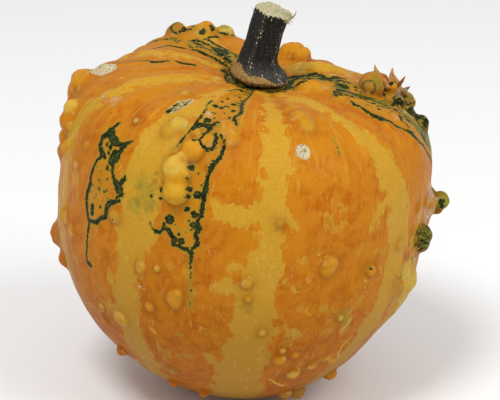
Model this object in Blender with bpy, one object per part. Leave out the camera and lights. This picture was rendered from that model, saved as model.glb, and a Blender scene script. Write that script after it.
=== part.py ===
"""Ornamental gourd: one warty, striped fruit and its dried stalk, resting on a small flat spot.

Metres, +Z up, the front faces -Y.  The fruit is shaped in its own frame, whose Z axis runs up the
fruit through the stalk and whose origin is on the axis at the fruit's widest line.  A place on the
skin is given as (turn, rise) in degrees: turn goes round the fruit from the front towards +X, and
rise goes up from the widest line.  The whole fruit then leans a little towards +X and stands on z = 0.
"""
import math

import bmesh
import bpy
import numpy as np
from mathutils import Matrix, Vector

# Fruit body
BODY_RADIUS = 0.0540          # at the widest line
TOP_HEIGHT = 0.0434           # widest line to the top, before the hollow round the stalk
BASE_DEPTH = 0.0538           # widest line to the bottom
SHOULDER_POWER = 4.2          # above 2 gives a flat top with square shoulders
BASE_POWER = 1.97             # about 2 gives a round underside
HOLLOW_DEPTH = 0.0020
HOLLOW_RADIUS = 0.0180
RIB_COUNT = 10
RIB_HEIGHT = 0.0005           # the ribs show on the shoulder and fade at the widest line
SEAT_RADIUS = 0.0090          # flat disc that the stalk grows from
SEAT_BLEND = 0.0030
SEAT_RISE = 0.0412            # the seat's height above the widest line

# How the fruit stands
LEAN_DEG = 6.7
FLAT_SPOT_DEPTH = 0.0012      # how much of the round underside is flattened
CENTRE_X = -0.0018             # the fruit's axis at its widest line, with the origin under the middle
CENTRE_Y = -0.0003

# Skin mesh
CUBE_CUTS = 19                # cuts across each face of the cube that is rounded into the fruit
SPLIT_MARGINS = (0.0020, 0.0008)  # the grid is halved this far round a wart, then halved again
WART_BLEND = 0.0007           # size of the fillet at the foot of a wart
RELAX_ROUNDS = 12

# Stalk
STALK_GAP = 0.0003            # the stalk's base stays this far off its seat
STALK_SIDES = 40
STALK_RIDGES = 5
STALK_RIDGE_TURN_DEG = 28

# Broad swellings of the body: (turn, rise, spread in degrees, height in mm)
SWELLINGS = (
    (-150, 46, 30, 2.2),      # high shoulder behind the stalk, to the left
    (-162, 48, 14, 2.0),
    (-120, 58, 30, 0.6),
    (150, 48, 40, -1.3),      # low shoulder behind the stalk, to the right
    (95, 27, 13, 1.3),
    (75, -22, 30, -1.2),
    (30, -62, 28, 0.9),
    (19, 48, 8, 0.8),         # soft ridge below the stalk, front right
    (-11, 41, 6, 1.0),        # soft lump beside the front wart group
    (92, 68, 10, 1.2),        # lobe close beside the stalk, right
    (67, -8, 12, 1.3),        # long pale swelling, low on the right flank
    (70, -16, 7, 1.2),
    (86, 7, 7, 1.6),          # bulge between the warts of the right flank
    (-117, 38, 9, -1.8),      # dent and humps of the left shoulder
    (-103, 38.5, 4.5, 1.0),
    (-125, 42, 4, 1.0),
    (-137, 44, 10, 1.2),
    (-90, 5, 12, 0.9),
    (129, 46, 7, 0.9),
    (138, 47, 8, 0.2),
)

# Warts, each a ball let into the skin: (turn, rise, radius in mm, how far its centre stands proud,
# in radii).  They grow in groups.
LEFT_SHOULDER = (
    (-103, 31.5, 3.9, 0.2),
    (-99, 29, 2.6, 0.4),
    (-96, 25, 2.8, 0.1),
    (-81, 29, 2.6, 0.2),
    (-82, 25, 2.9, 0.1),
    (-75, 20, 2.2, 0.0),
    (-104, 19, 2.4, 0.0),
    (-91, 14, 2.5, 0.0),
    (-86, 20, 2.6, 0.0),
)
LEFT_FLANK = ((-87, -12, 3.6, -0.2), (-80, -18, 2.4, -0.1), (-72, 0, 2.7, -0.4))
BACK_LEFT = (
    (-144, 47, 3.4, 0.0),
    (-148.5, 48.5, 3.0, 0.0),
    (-155, 49.5, 3.3, 0.2),
    (-164, 49, 3.1, 0.1),
)
BACK_RIGHT = (
    (161, 54, 3.9, 0.2),
    (159, 52, 2.4, 1.0),
    (151.5, 55, 2.0, 1.1),
    (152.5, 57.5, 2.4, 0.4),
)
BESIDE_STALK = ((60, 69, 5.2, -0.35), (128, 61.5, 7.0, -0.45))  # two broad mounds
FRONT_GROUP = (
    (-24, 29, 3.6, 0.05),
    (-22.5, 23, 3.8, 0.05),
    (-20.5, 34.5, 3.2, 0.05),
    (-17, 38, 2.5, -0.3),
    (-21.5, 39.5, 2.0, -0.3),
    (-30, 40.5, 3.0, -0.3),
)
RIGHT_GROUP = (
    (96, 51.5, 3.9, 0.4),
    (108, 49, 3.7, 0.0),
    (101, 45, 2.2, 0.5),
    (92, 43.5, 2.4, 0.2),
    (97, 41, 2.4, 0.4),
    (112, 42, 2.5, 0.4),
    (106, 39, 3.0, 0.2),
    (118, 43, 2.6, 0.5),
    (97, 31, 2.4, 0.4),
)
RIGHT_FLANK = (
    (88, 12, 2.8, 0.2),       # long-necked wart: a foot and a ball on it
    (88, 12, 2.8, 1.0),
    (83, 12.5, 4.2, -0.5),
    (72.5, 6, 3.4, 0.1),
    (73.5, 3, 3.0, 0.0),
    (64.5, -6.5, 4.4, -0.4),
)
LOW_WARTS = (
    (-45.5, 37.5, 1.2, -0.2),
    (-42.5, 10.5, 2.4, -0.45),
    (-25, -0.5, 1.2, -0.3),
    (-19, -9, 2.4, -0.3),
    (-27.5, -14, 1.6, -0.3),
    (-49, -22.5, 1.6, -0.2),
    (-50, -28.5, 1.4, -0.2),
    (-51, -43, 1.8, 0.1),
    (-27, -53, 1.8, 0.0),
    (-11, -56, 1.7, 0.0),
    (42, 2.5, 1.9, -0.3),
    (26, 5.5, 2.7, -0.4),
    (1.5, 0, 1.8, -0.4),
    (16.5, -27.5, 2.1, -0.3),
    (21.5, -25.5, 1.6, -0.3),
    (25, -36, 2.3, -0.3),
    (31, -32.5, 1.7, -0.3),
    (45, -56, 2.6, 0.1),
    (37, -57, 1.8, 0.1),
    (57, -47, 2.1, 0.0),
)
BACK_WARTS = (
    (-128, 22, 2.8, -0.2),
    (-137, 8, 2.2, -0.3),
    (-116, 2, 1.8, -0.2),
    (-150, -14, 2.4, -0.3),
    (-118, -30, 1.9, -0.2),
    (-172, 24, 3.0, -0.2),
    (-178, 17, 2.4, -0.3),
    (170, -6, 1.9, -0.3),
    (-165, -36, 2.1, -0.2),
    (152, 28, 2.6, -0.1),
    (144, 23, 3.1, -0.2),
    (137, 4, 2.2, -0.3),
    (120, 18, 2.5, -0.1),
    (113, -8, 2.0, -0.2),
    (148, -26, 2.2, -0.2),
    (108, -34, 1.8, -0.2),
    (96, -24, 1.7, -0.2),
    (-96, -40, 1.8, -0.2),
)
WART_GROUPS = (
    LEFT_SHOULDER, LEFT_FLANK, BACK_LEFT, BACK_RIGHT, BESIDE_STALK, FRONT_GROUP,
    RIGHT_GROUP, RIGHT_FLANK, LOW_WARTS, BACK_WARTS,
)

# Stalk stations: (height in mm above the base, sideways shift in mm, radius in mm)
STALK_STATIONS = (
    (0.0, 0.5, 6.9),
    (0.8, 0.5, 7.7),
    (1.7, 0.4, 8.2),
    (2.7, 0.2, 7.8),
    (3.6, 0.0, 7.1),
    (5.0, -0.5, 6.1),
    (7.5, -0.7, 5.4),
    (11.0, 0.0, 5.0),
    (15.5, 0.6, 4.9),
    (19.0, 1.4, 5.0),
    (20.5, 1.9, 5.3),
    (21.2, 2.1, 5.1),
)
STALK_TOP_TILT_DEG = 9.0
MM = 0.001


def clear_scene():
    for old in list(bpy.data.objects):
        bpy.data.objects.remove(old, do_unlink=True)


def skin_directions(places):
    """Unit vectors of (turn, rise) places, in the fruit's own frame."""
    turn, rise = np.radians(np.asarray(places, float)).T
    level = np.cos(rise)
    return np.stack([level * np.sin(turn), -level * np.cos(turn), np.sin(rise)], axis=-1)


def body_surface(directions):
    """Points of the smooth body, without warts, along unit vectors."""
    sideways = np.hypot(directions[:, 0], directions[:, 1])
    up = directions[:, 2]
    power = np.where(up > 0, SHOULDER_POWER, BASE_POWER)
    height = np.where(up > 0, TOP_HEIGHT, BASE_DEPTH)
    radius = ((sideways / BODY_RADIUS) ** power + (np.abs(up) / height) ** power) ** (-1 / power)
    for turn, rise, spread, swell in SWELLINGS:
        toward = directions @ skin_directions([(turn, rise)])[0]
        radius += swell * MM * np.exp((toward - 1) / (1 - math.cos(math.radians(spread))))
    turn = np.arctan2(directions[:, 0], -directions[:, 1])
    shoulder = np.clip(up, 0, 1) ** 2 * sideways * 2.6
    radius += RIB_HEIGHT * shoulder * np.cos(RIB_COUNT * turn)
    points = directions * radius[:, None]
    reach = np.hypot(points[:, 0], points[:, 1])
    top = up > 0
    points[top, 2] -= HOLLOW_DEPTH * np.exp(-(reach[top] / HOLLOW_RADIUS) ** 2)
    seat = top * np.clip((SEAT_RADIUS + SEAT_BLEND - reach) / SEAT_BLEND, 0, 1)
    seat = seat * seat * (3 - 2 * seat)
    points[:, 2] += seat * (SEAT_RISE - points[:, 2])
    return points


def body_normals(directions):
    """Outward normals of the smooth body, from two small steps along it."""
    step = 0.002
    sideways = np.cross(directions, [0.0, 0.0, 1.0])
    sideways += np.where(np.abs(directions[:, 2:]) > 0.9999, [[1.0, 0.0, 0.0]], 0.0)
    sideways /= np.linalg.norm(sideways, axis=1)[:, None]
    onward = np.cross(sideways, directions)
    steps = []
    for way in (sideways, onward):
        ahead = directions + way * step
        behind = directions - way * step
        ahead /= np.linalg.norm(ahead, axis=1)[:, None]
        behind /= np.linalg.norm(behind, axis=1)[:, None]
        steps.append(body_surface(ahead) - body_surface(behind))
    normals = np.cross(steps[0], steps[1])
    normals /= np.linalg.norm(normals, axis=1)[:, None]
    return normals * np.sign((normals * directions).sum(axis=1))[:, None]


def wart_balls():
    """Centre and radius of every wart's ball."""
    balls = []
    for group in WART_GROUPS:
        for turn, rise, radius, proud in group:
            direction = skin_directions([(turn, rise)])
            centre = body_surface(direction)[0] + body_normals(direction)[0] * radius * proud * MM
            balls.append((centre, radius * MM))
    return balls


def distance_and_slope(points, foot, normals, balls, near):
    """Signed distance to the skin with its warts blended in, and the direction it grows in."""
    body = ((points - foot) * normals).sum(axis=1)
    weight = np.exp(-np.clip(body, -0.01, 0.01) / WART_BLEND)
    total = weight.copy()
    slope = normals * weight[:, None]
    for (centre, radius), index in zip(balls, near):
        away = points[index] - centre
        length = np.linalg.norm(away, axis=1) + 1e-9
        weight = np.exp(-np.clip(length - radius, -0.01, 0.01) / WART_BLEND)
        total[index] += weight
        slope[index] += away * (weight / length)[:, None]
    return -WART_BLEND * np.log(total), slope / total[:, None]


def grow_warts(directions, edges):
    """Skin points with the warts: pushed out, evened out along the skin and settled on it."""
    foot = body_surface(directions)
    normals = body_normals(directions)
    balls = wart_balls()
    near = [np.flatnonzero(np.linalg.norm(foot - c, axis=1) < r + 0.0045) for c, r in balls]
    push = np.zeros(len(foot))
    moving = np.zeros(len(foot))
    for (centre, radius), index in zip(balls, near):
        to_centre = centre - foot[index]
        along = (to_centre * normals[index]).sum(axis=1)
        inside = radius ** 2 - (to_centre ** 2).sum(axis=1) + along ** 2
        out = np.where(inside > 0, along + np.sqrt(np.clip(inside, 0, None)), 0)
        push[index] = np.maximum(push[index], out)
        moving[index] = 1
    points = foot + normals * push[:, None]
    ends = np.concatenate([edges, edges[:, ::-1]])
    count = np.bincount(ends[:, 0], minlength=len(points))[:, None]
    for _ in range(RELAX_ROUNDS):
        mean = np.stack(
            [np.bincount(ends[:, 0], points[ends[:, 1], axis], len(points)) for axis in range(3)], axis=1
        ) / count
        points += 0.5 * moving[:, None] * (mean - points)
        for _ in range(3):
            distance, slope = distance_and_slope(points, foot, normals, balls, near)
            points -= slope * (distance / (slope ** 2).sum(axis=1))[:, None]
    return points


def placement():
    """From the fruit's own frame to the world: the lean, then up until the flat spot is at z = 0."""
    lean = Matrix.Rotation(math.radians(LEAN_DEG), 4, "Y")
    down = np.array(lean.inverted().to_3x3() @ Vector((0, 0, -1)))
    bottom = body_surface(down[None, :])[0]
    lift = -(lean @ Vector(bottom)).z - FLAT_SPOT_DEPTH
    return Matrix.Translation((CENTRE_X, CENTRE_Y, lift)) @ lean


def rounded_cube():
    """A cube with a grid on every face, finer round the warts, for rounding into the fruit."""
    grid = bmesh.new()
    bmesh.ops.create_cube(grid, size=2.0)
    bmesh.ops.subdivide_edges(grid, edges=grid.edges[:], cuts=CUBE_CUTS, use_grid_fill=True)
    for vertex in grid.verts:
        vertex.co = [math.tan(value * math.pi / 4) for value in vertex.co]
    balls = wart_balls()
    for margin in SPLIT_MARGINS:
        foot = body_surface(np.array([face.calc_center_median().normalized() for face in grid.faces]))
        fine = np.zeros(len(foot), bool)
        for centre, radius in balls:
            fine |= np.linalg.norm(foot - centre, axis=1) < radius + margin
        edges = {edge for face, chosen in zip(grid.faces, fine) if chosen for edge in face.edges}
        bmesh.ops.subdivide_edges(grid, edges=list(edges), cuts=1, use_grid_fill=True)
    bmesh.ops.triangulate(grid, faces=grid.faces[:])
    return grid


def material(name, colour, roughness):
    made = bpy.data.materials.new(name)
    made.use_nodes = True
    shader = made.node_tree.nodes["Principled BSDF"]
    shader.inputs["Base Color"].default_value = (*colour, 1)
    shader.inputs["Roughness"].default_value = roughness
    shader.inputs["Metallic"].default_value = 0
    made.diffuse_color = (*colour, 1)
    return made


def add_object(name, shape, finish):
    mesh = bpy.data.meshes.new(name)
    shape.to_mesh(mesh)
    shape.free()
    mesh.shade_smooth()
    mesh.materials.append(finish)
    made = bpy.data.objects.new(name, mesh)
    bpy.context.scene.collection.objects.link(made)
    return made


def build_fruit():
    """The whole fruit: body, ribs, swellings and warts are one skin, so it is one closed solid."""
    grid = rounded_cube()
    directions = np.array([vertex.co.normalized() for vertex in grid.verts])
    edges = np.array([[end.index for end in edge.verts] for edge in grid.edges])
    points = grow_warts(directions, edges)
    place = placement()
    for vertex, point in zip(grid.verts, points):
        vertex.co = place @ Vector(point)
        vertex.co.z = max(vertex.co.z, 0.0)
    return add_object("fruit", grid, material("orange_rind", (0.60, 0.22, 0.02), 0.42))


def stalk_outline(radius, sharp):
    """One ring of the stalk: five blunt ridges that die out towards the spreading foot."""
    ring = []
    for side in range(STALK_SIDES):
        turn = 2 * math.pi * side / STALK_SIDES
        wave = math.cos(STALK_RIDGES * (turn - math.radians(STALK_RIDGE_TURN_DEG)))
        reach = radius * (1 + sharp * wave)
        ring.append(Vector((reach * math.cos(turn), reach * math.sin(turn), 0)))
    return ring


def build_stalk():
    """The dried stalk: a ridged column with a spreading foot and a flat cut end."""
    shape = bmesh.new()
    place = placement() @ Matrix.Translation((0, 0, SEAT_RISE + STALK_GAP))
    top = STALK_STATIONS[-1][0]
    rings = []
    for height, shift, radius in STALK_STATIONS:
        part_way = height / top
        tilt = Matrix.Rotation(math.radians(STALK_TOP_TILT_DEG) * part_way, 4, "Y")
        station = place @ Matrix.Translation((shift * MM, 0, height * MM)) @ tilt
        sharp = 0.02 + 0.05 * part_way
        rings.append([shape.verts.new(station @ point) for point in stalk_outline(radius * MM, sharp)])
    for lower, upper in zip(rings, rings[1:]):
        for side in range(STALK_SIDES):
            beside = (side + 1) % STALK_SIDES
            shape.faces.new((lower[side], lower[beside], upper[beside], upper[side]))
    shape.faces.new(list(reversed(rings[0])))
    shape.faces.new(rings[-1])
    bmesh.ops.recalc_face_normals(shape, faces=shape.faces[:])
    bmesh.ops.triangulate(shape, faces=shape.faces[:])
    return add_object("stalk", shape, material("dry_stalk", (0.015, 0.02, 0.018), 0.7))


clear_scene()
build_fruit()
build_stalk()
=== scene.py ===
"""Looks of the ornamental gourd: a finely modelled warty rind, its markings, and the dried stalk.

Metres, +Z up, the front faces -Y.  The fruit has its own frame, whose Z axis runs up through the stalk
and whose origin is on the axis at the widest line.  A place on the skin is (turn, rise) in degrees:
turn goes round from the front towards +X, rise goes up from the widest line.  Lengths that describe
the skin and its markings are in millimetres.
"""

import math
import random

import bmesh
import bpy
import numpy as np
from mathutils import Matrix, Vector, noise


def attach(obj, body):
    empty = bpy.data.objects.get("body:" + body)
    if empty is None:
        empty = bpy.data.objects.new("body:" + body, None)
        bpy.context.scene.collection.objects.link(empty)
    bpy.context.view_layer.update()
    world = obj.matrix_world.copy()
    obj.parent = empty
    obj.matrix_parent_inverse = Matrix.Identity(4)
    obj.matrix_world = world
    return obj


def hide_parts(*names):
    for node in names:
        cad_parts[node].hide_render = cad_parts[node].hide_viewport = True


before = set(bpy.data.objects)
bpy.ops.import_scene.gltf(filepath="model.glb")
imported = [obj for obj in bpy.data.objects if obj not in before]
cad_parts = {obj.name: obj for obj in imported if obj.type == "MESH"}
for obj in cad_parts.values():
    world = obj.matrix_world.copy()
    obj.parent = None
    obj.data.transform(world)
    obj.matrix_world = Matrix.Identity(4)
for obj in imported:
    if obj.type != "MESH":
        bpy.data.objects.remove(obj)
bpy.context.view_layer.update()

MM = 0.001

# ---------------------------------------------------------------- the fruit's shape, as in the part
BODY_RADIUS = 54.0
TOP_HEIGHT = 43.4
BASE_DEPTH = 53.8
SHOULDER_POWER = 4.2
BASE_POWER = 1.97
HOLLOW_DEPTH = 2.0
HOLLOW_RADIUS = 18.0
RIB_COUNT = 10
RIB_HEIGHT = 0.5
SEAT_RADIUS = 9.0
SEAT_BLEND = 3.0
SEAT_RISE = 41.2
LEAN_DEG = 6.7
FLAT_SPOT_DEPTH = 1.2
CENTRE_X = -1.8
CENTRE_Y = -0.3
STALK_GAP = 0.3

# Swellings of the body, broad ones first: (turn, rise, spread in degrees, height)
SWELLINGS = (
    (-150, 46, 30, 2.2),
    (-162, 48, 14, 2.0),
    (-120, 58, 30, 0.6),
    (150, 48, 40, -1.3),
    (95, 27, 13, 1.3),
    (75, -22, 30, -1.2),
    (30, -62, 28, 0.9),
    (19, 48, 8, 0.8),
    (-11, 41, 6, 1.0),
    (92, 68, 10, 1.2),
    (67, -8, 12, 1.3),
    (70, -16, 7, 1.2),
    (-117, 38, 9, -1.8),
    (-103, 38.5, 4.5, 1.0),
    (-137, 44, 10, 1.2),
    (-90, 5, 12, 0.9),
    (138, 47, 8, 0.2),
    (129, 46, 7, 0.9),
    # smaller mounds and hollows, most of them too slight for the part
    (66, 62, 7, 0.9),
    (100, 66, 6, -0.6),
    (-92, 59, 4, 0.8),
    (-97, 68, 3.5, 0.8),
    (22, 52, 5, 0.9),
    (-84, 27, 7, 0.9),
    (-96, 34, 6, 1.0),
    (-84, -12, 6, 0.8),
    (51, -7, 3, -0.5),
    (86, 7, 7, 1.6),
    (-125, 42, 4, 1.0),
    (-97, 41, 4, 0.8),
)

# Colours
PALETTE = {
    "orange": "c88a1c",
    "deep orange": "b46a16",
    "amber": "cb9024",
    "yellow": "c89a28",
    "pale yellow": "cfae46",
    "gold": "c08c1c",
    "brown gold": "a4732a",
    "olive": "847527",
    "lime": "84882e",
    "leaf": "46562a",
    "spring": "9cae48",
    "straw": "c4a548",
    "brown": "70441f",
    "tan": "b08440",
    "dusty grey": "8e8166",
    "rust": "94501d",
    "pink": "cfa286",
    "grass": "55702a",
    "smoke": "6b6a3c",
    "cream": "d6bd7c",
    "pale lime": "c9b95c",
    "moss": "3e4f22",
}

# Linear colours of the rind's ground and markings, with the painted shade of its lower part and of the
# creases round warts
ORANGE = (0.492, 0.174, 0.009)
ORANGE_DEEP = (0.425, 0.108, 0.002)
# orange low on the fruit: partly a deeper, redder tone, partly painted shade
ORANGE_LOW_TONE_AND_SHADE = (0.300, 0.074, 0.002)
AMBER = (0.520, 0.205, 0.006)
YELLOW = (0.535, 0.290, 0.023)
YELLOW_DEEP = (0.440, 0.218, 0.016)
# yellow low on the fruit: painted shade
YELLOW_LOW_SHADE = (0.330, 0.166, 0.020)
OCHRE = (0.480, 0.190, 0.006)
# pale for the flecks, and for the painted highlight streaks
PALE = (0.62, 0.39, 0.09)
# cream for the scratches, and for the painted highlight on the sides of warts
CREAM = (0.66, 0.47, 0.18)
# painted shade in the crease round a wart's foot
FOLD_SHADE = (0.23, 0.060, 0.003)
HALO = (0.30, 0.225, 0.020)
GREEN = (0.016, 0.030, 0.008)
GREEN_DARK = (0.006, 0.011, 0.004)
GREEN_CORE = (0.085, 0.100, 0.020)
CRUST = (0.38, 0.27, 0.13)
CRUST_PALE = (0.78, 0.70, 0.50)
CRUST_CRACK = (0.05, 0.03, 0.02)
CRUST_RIM = (0.42, 0.2, 0.05)

# Linear colours of the stalk
SKIN_DARK = (0.006, 0.006, 0.005)
SKIN_LIGHT = (0.022, 0.021, 0.016)
SKIN_GREY = (0.05, 0.048, 0.038)
SKIN_RIDGE = (0.045, 0.036, 0.024)
SKIN_HAZE = (0.11, 0.115, 0.11)
FLECK = (0.66, 0.58, 0.38)
TAN = (0.44, 0.265, 0.075)
TAN_DARK = (0.22, 0.12, 0.035)
TAN_PALE = (0.60, 0.43, 0.18)
CUT = (0.70, 0.64, 0.42)
CUT_DARK = (0.34, 0.29, 0.14)
CUT_GREEN = (0.22, 0.21, 0.07)

# Linear colours of the dried scales and of the torn fibres: dark, light and pale
SCALE_COLOURS = (0.30, 0.10, 0.02), (0.55, 0.27, 0.06), (0.62, 0.46, 0.22)
FIBRE_COLOURS = (0.16, 0.14, 0.05), (0.42, 0.38, 0.18), (0.66, 0.60, 0.38)

# Warts, each a ball let into the skin: (turn, rise, radius, how proud its centre stands in radii,
# how widely its foot blends into the skin, colour)
WARTS = (
    # left shoulder: soft lumps that run into each other
    (-103, 31.5, 3.9, 0.2, 3.0, "amber"),
    (-99, 29, 2.6, 0.4, 2.8, "orange"),
    (-97, 32.5, 3.8, -0.1, 2.2, "amber"),
    (-79.7, 25.5, 2.6, -0.3, 2.0, "orange"),
    (-82.6, 17.9, 2.0, -0.35, 1.6, "orange"),
    (-96, 25, 2.8, 0.0, 2.8, "amber"),
    (-81, 29.5, 2.5, 0.2, 2.0, "pale yellow"),
    (-82, 25.5, 2.9, 0.0, 2.8, "orange"),
    (-75.5, 20, 2.2, -0.1, 2.4, "orange"),
    (-104, 19, 2.4, 0.0, 2.2, "orange"),
    (-91, 14, 2.6, -0.3, 2.4, "orange"),
    (-86, 20, 2.6, -0.2, 2.6, "amber"),
    (-66, 18.5, 1.6, -0.5, 1.6, "amber"),
    (-62, 25, 1.4, -0.4, 1.4, "amber"),
    # left flank
    (-72, 0, 2.7, -0.5, 2.6, "yellow"),
    (-87, -12, 3.6, -0.3, 2.6, "deep orange"),
    (-80, -18, 2.4, -0.2, 2.2, "deep orange"),
    (-64, -2, 2.2, -0.6, 1.8, "amber"),
    # behind the stalk, left: broad lumps that run together
    (-141.5, 47.6, 3.7, -0.16, 1.4, "brown gold"),
    (-148.5, 48.6, 3.0, -0.12, 1.6, "brown gold"),
    (-155, 49.5, 3.3, 0.15, 1.8, "orange"),
    (-159.5, 49.5, 2.2, -0.2, 1.6, "orange"),
    (-163.8, 49, 3.1, 0.0, 1.4, "pale lime"),
    # long bump above the round scar
    (17.4, 55.3, 2.8, -0.6, 2.0, "amber"),
    (18.6, 50.3, 3.3, -0.55, 2.0, "amber"),
    (20.4, 46.6, 2.7, -0.42, 1.6, "yellow"),
    # mounds right of the stalk: an orange one in front of the dark band, a pale one behind it
    (59.6, 68.9, 5.2, -0.45, 2.4, "orange"),
    (57.5, 57.5, 2.6, -0.45, 1.8, "orange"),
    (128, 61.6, 7.0, -0.56, 4.0, "yellow"),
    (122, 55.5, 5.5, -0.85, 3.5, "yellow"),
    # behind the stalk, right: one large wart with knobs
    (161, 54, 3.9, 0.2, 1.4, "orange"),
    (159, 52, 2.3, 1.1, 0.8, "amber"),
    (151.5, 55, 1.8, 1.2, 0.7, "amber"),
    (152.5, 57.5, 2.3, 0.4, 0.8, "orange"),
    # front group: the double wart with its knob, and the balls above it
    (-24.3, 29, 3.6, 0.05, 0.6, "pale yellow"),
    (-22.9, 31.8, 1.9, 0.4, 0.5, "pale yellow"),
    (-23.3, 25.8, 3.5, -0.05, 0.6, "gold"),
    (-22.5, 23.2, 3.75, 0.05, 0.5, "yellow"),
    (-20.7, 28, 1.5, 0.9, 0.4, "yellow"),
    (-20.5, 34.5, 3.2, 0.05, 0.6, "amber"),
    (-18.6, 36, 1.8, 0.3, 0.8, "amber"),
    (-17, 38, 2.5, -0.4, 1.0, "orange"),
    (-21.5, 39.5, 1.9, -0.4, 0.8, "orange"),
    (-11, 42.5, 3.0, -0.6, 1.6, "amber"),
    (-9.5, 39.5, 2.4, -0.5, 1.6, "amber"),
    (-12.5, 45, 2.4, -0.5, 1.4, "amber"),
    (-15.5, 43.5, 1.8, -0.4, 0.9, "olive"),
    (-29.8, 40.8, 2.9, -0.3, 1.4, "pale yellow"),
    (-31.5, 38.2, 2.5, -0.5, 1.4, "yellow"),
    # right shoulder group, crowded and partly dried
    (96, 51.5, 3.9, 0.4, 0.8, "brown gold"),
    (91.2, 52.4, 2.6, 0.75, 0.6, "brown gold"),
    (108, 49, 3.7, 0.0, 0.8, "olive"),
    (101.2, 45.3, 1.75, 0.95, 0.6, "orange"),
    (112, 42, 2.5, 0.4, 0.6, "brown"),
    (91.5, 43.5, 2.3, 0.3, 0.5, "leaf"),
    (95.5, 40.5, 2.2, 0.5, 0.5, "tan"),
    (98.5, 42.5, 1.9, 0.8, 0.5, "dusty grey"),
    (101, 39.5, 1.9, 0.4, 0.5, "brown gold"),
    (103.5, 39.5, 2.4, 0.0, 0.8, "tan"),
    (91, 40, 1.4, 0.4, 0.5, "olive"),
    (84.8, 46.8, 1.4, 0.6, 0.5, "brown gold"),
    (94, 34, 2.4, -0.1, 2.0, "olive"),
    (118, 43, 2.6, 0.5, 0.7, "rust"),
    # right flank: bumps, a mottled wart and a long-necked one behind it
    (83, 12.5, 4.2, -0.6, 2.2, "orange"),
    (74, 16, 2.0, -0.5, 1.2, "orange"),
    (66, 16.5, 1.6, -0.5, 0.9, "orange"),
    (88, 11.9, 2.8, 1.0, 1.2, "olive"),
    (87.5, 9.2, 1.5, 1.4, 0.8, "brown"),
    (73.5, 3.2, 3.0, 0.0, 1.6, "leaf"),
    (72.5, 6, 3.4, 0.1, 1.0, "leaf"),
    (55, 8, 1.5, -0.4, 1.0, "pale yellow"),
    (64.5, -6.5, 4.4, -0.5, 2.8, "straw"),
    # scattered over the front and the underside
    (-41, 53.5, 2.0, -0.75, 1.2, "pale yellow"),
    (-45.5, 37.5, 1.1, -0.2, 0.5, "pale yellow"),
    (-42.5, 10.5, 2.4, -0.5, 1.0, "yellow"),
    (-25.5, -0.5, 1.2, -0.3, 0.5, "pale yellow"),
    (-30.9, -1.6, 2.3, -0.65, 1.4, "yellow"),
    (-40, -23, 3.2, -0.72, 1.8, "yellow"),
    (-22.9, -41.4, 1.9, -0.35, 0.8, "tan"),
    (-27.5, -14, 1.7, -0.3, 0.6, "amber"),
    (-19.4, -8.8, 2.7, -0.45, 0.9, "amber"),
    (-18.4, -7, 1.5, -0.1, 0.7, "yellow"),
    (-19, -10.6, 1.6, -0.3, 0.7, "gold"),
    (26.3, 6.5, 3.0, -0.5, 0.9, "amber"),
    (25.6, 4.5, 2.4, -0.45, 0.9, "gold"),
    (42, 2.5, 1.9, -0.3, 0.6, "amber"),
    (1.5, 0, 1.8, -0.45, 0.7, "yellow"),
    (2.5, -5, 1.1, -0.3, 0.5, "yellow"),
    (-14, 31, 1.0, -0.3, 0.5, "orange"),
    (16.5, -27.5, 2.1, -0.35, 0.8, "amber"),
    (21.5, -25.5, 1.5, -0.3, 0.7, "amber"),
    (25, -36, 2.3, -0.35, 0.8, "yellow"),
    (31, -32.5, 1.7, -0.35, 0.8, "amber"),
    (16.5, -23.5, 1.2, -0.2, 0.6, "amber"),
    (8.5, -16.5, 1.5, -0.5, 0.6, "pale yellow"),
    (33.5, -12, 1.3, -0.4, 0.6, "pale yellow"),
    (-49, -22.5, 1.6, -0.3, 0.6, "orange"),
    (-50, -28.5, 1.3, -0.3, 0.6, "orange"),
    (-51, -43, 1.8, 0.1, 0.9, "deep orange"),
    (-27, -53, 1.8, 0.0, 0.9, "deep orange"),
    (-11, -56, 1.7, 0.0, 0.9, "deep orange"),
    (45, -56, 2.6, 0.1, 0.9, "tan"),
    (31.9, -52.2, 2.0, 0.0, 0.9, "tan"),
    (37, -57, 1.8, 0.1, 0.9, "tan"),
    (57, -47, 2.1, 0.0, 0.9, "orange"),
    (9, 18.5, 1.8, -0.75, 0.6, "amber"),
    # round the back
    (-128, 22, 2.8, -0.2, 1.0, "orange"),
    (-137, 8, 2.2, -0.3, 0.8, "yellow"),
    (-116, 2, 1.8, -0.2, 0.8, "amber"),
    (-150, -14, 2.4, -0.3, 0.9, "amber"),
    (-118, -30, 1.9, -0.2, 0.8, "orange"),
    (-172, 24, 3.0, -0.2, 0.8, "yellow"),
    (-178, 17, 2.4, -0.3, 0.8, "gold"),
    (170, -6, 1.9, -0.3, 0.8, "amber"),
    (-165, -36, 2.1, -0.2, 0.8, "orange"),
    (152, 28, 2.6, -0.1, 0.8, "amber"),
    (144, 23, 3.1, -0.2, 0.8, "orange"),
    (137, 4, 2.2, -0.3, 0.8, "yellow"),
    (120, 18, 2.5, -0.1, 0.8, "lime"),
    (113, -8, 2.0, -0.2, 0.8, "amber"),
    (148, -26, 2.2, -0.2, 0.8, "orange"),
    (108, -34, 1.8, -0.2, 0.8, "amber"),
    (96, -24, 1.7, -0.2, 0.8, "orange"),
    (-96, -40, 1.8, -0.2, 0.8, "orange"),
)

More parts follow.
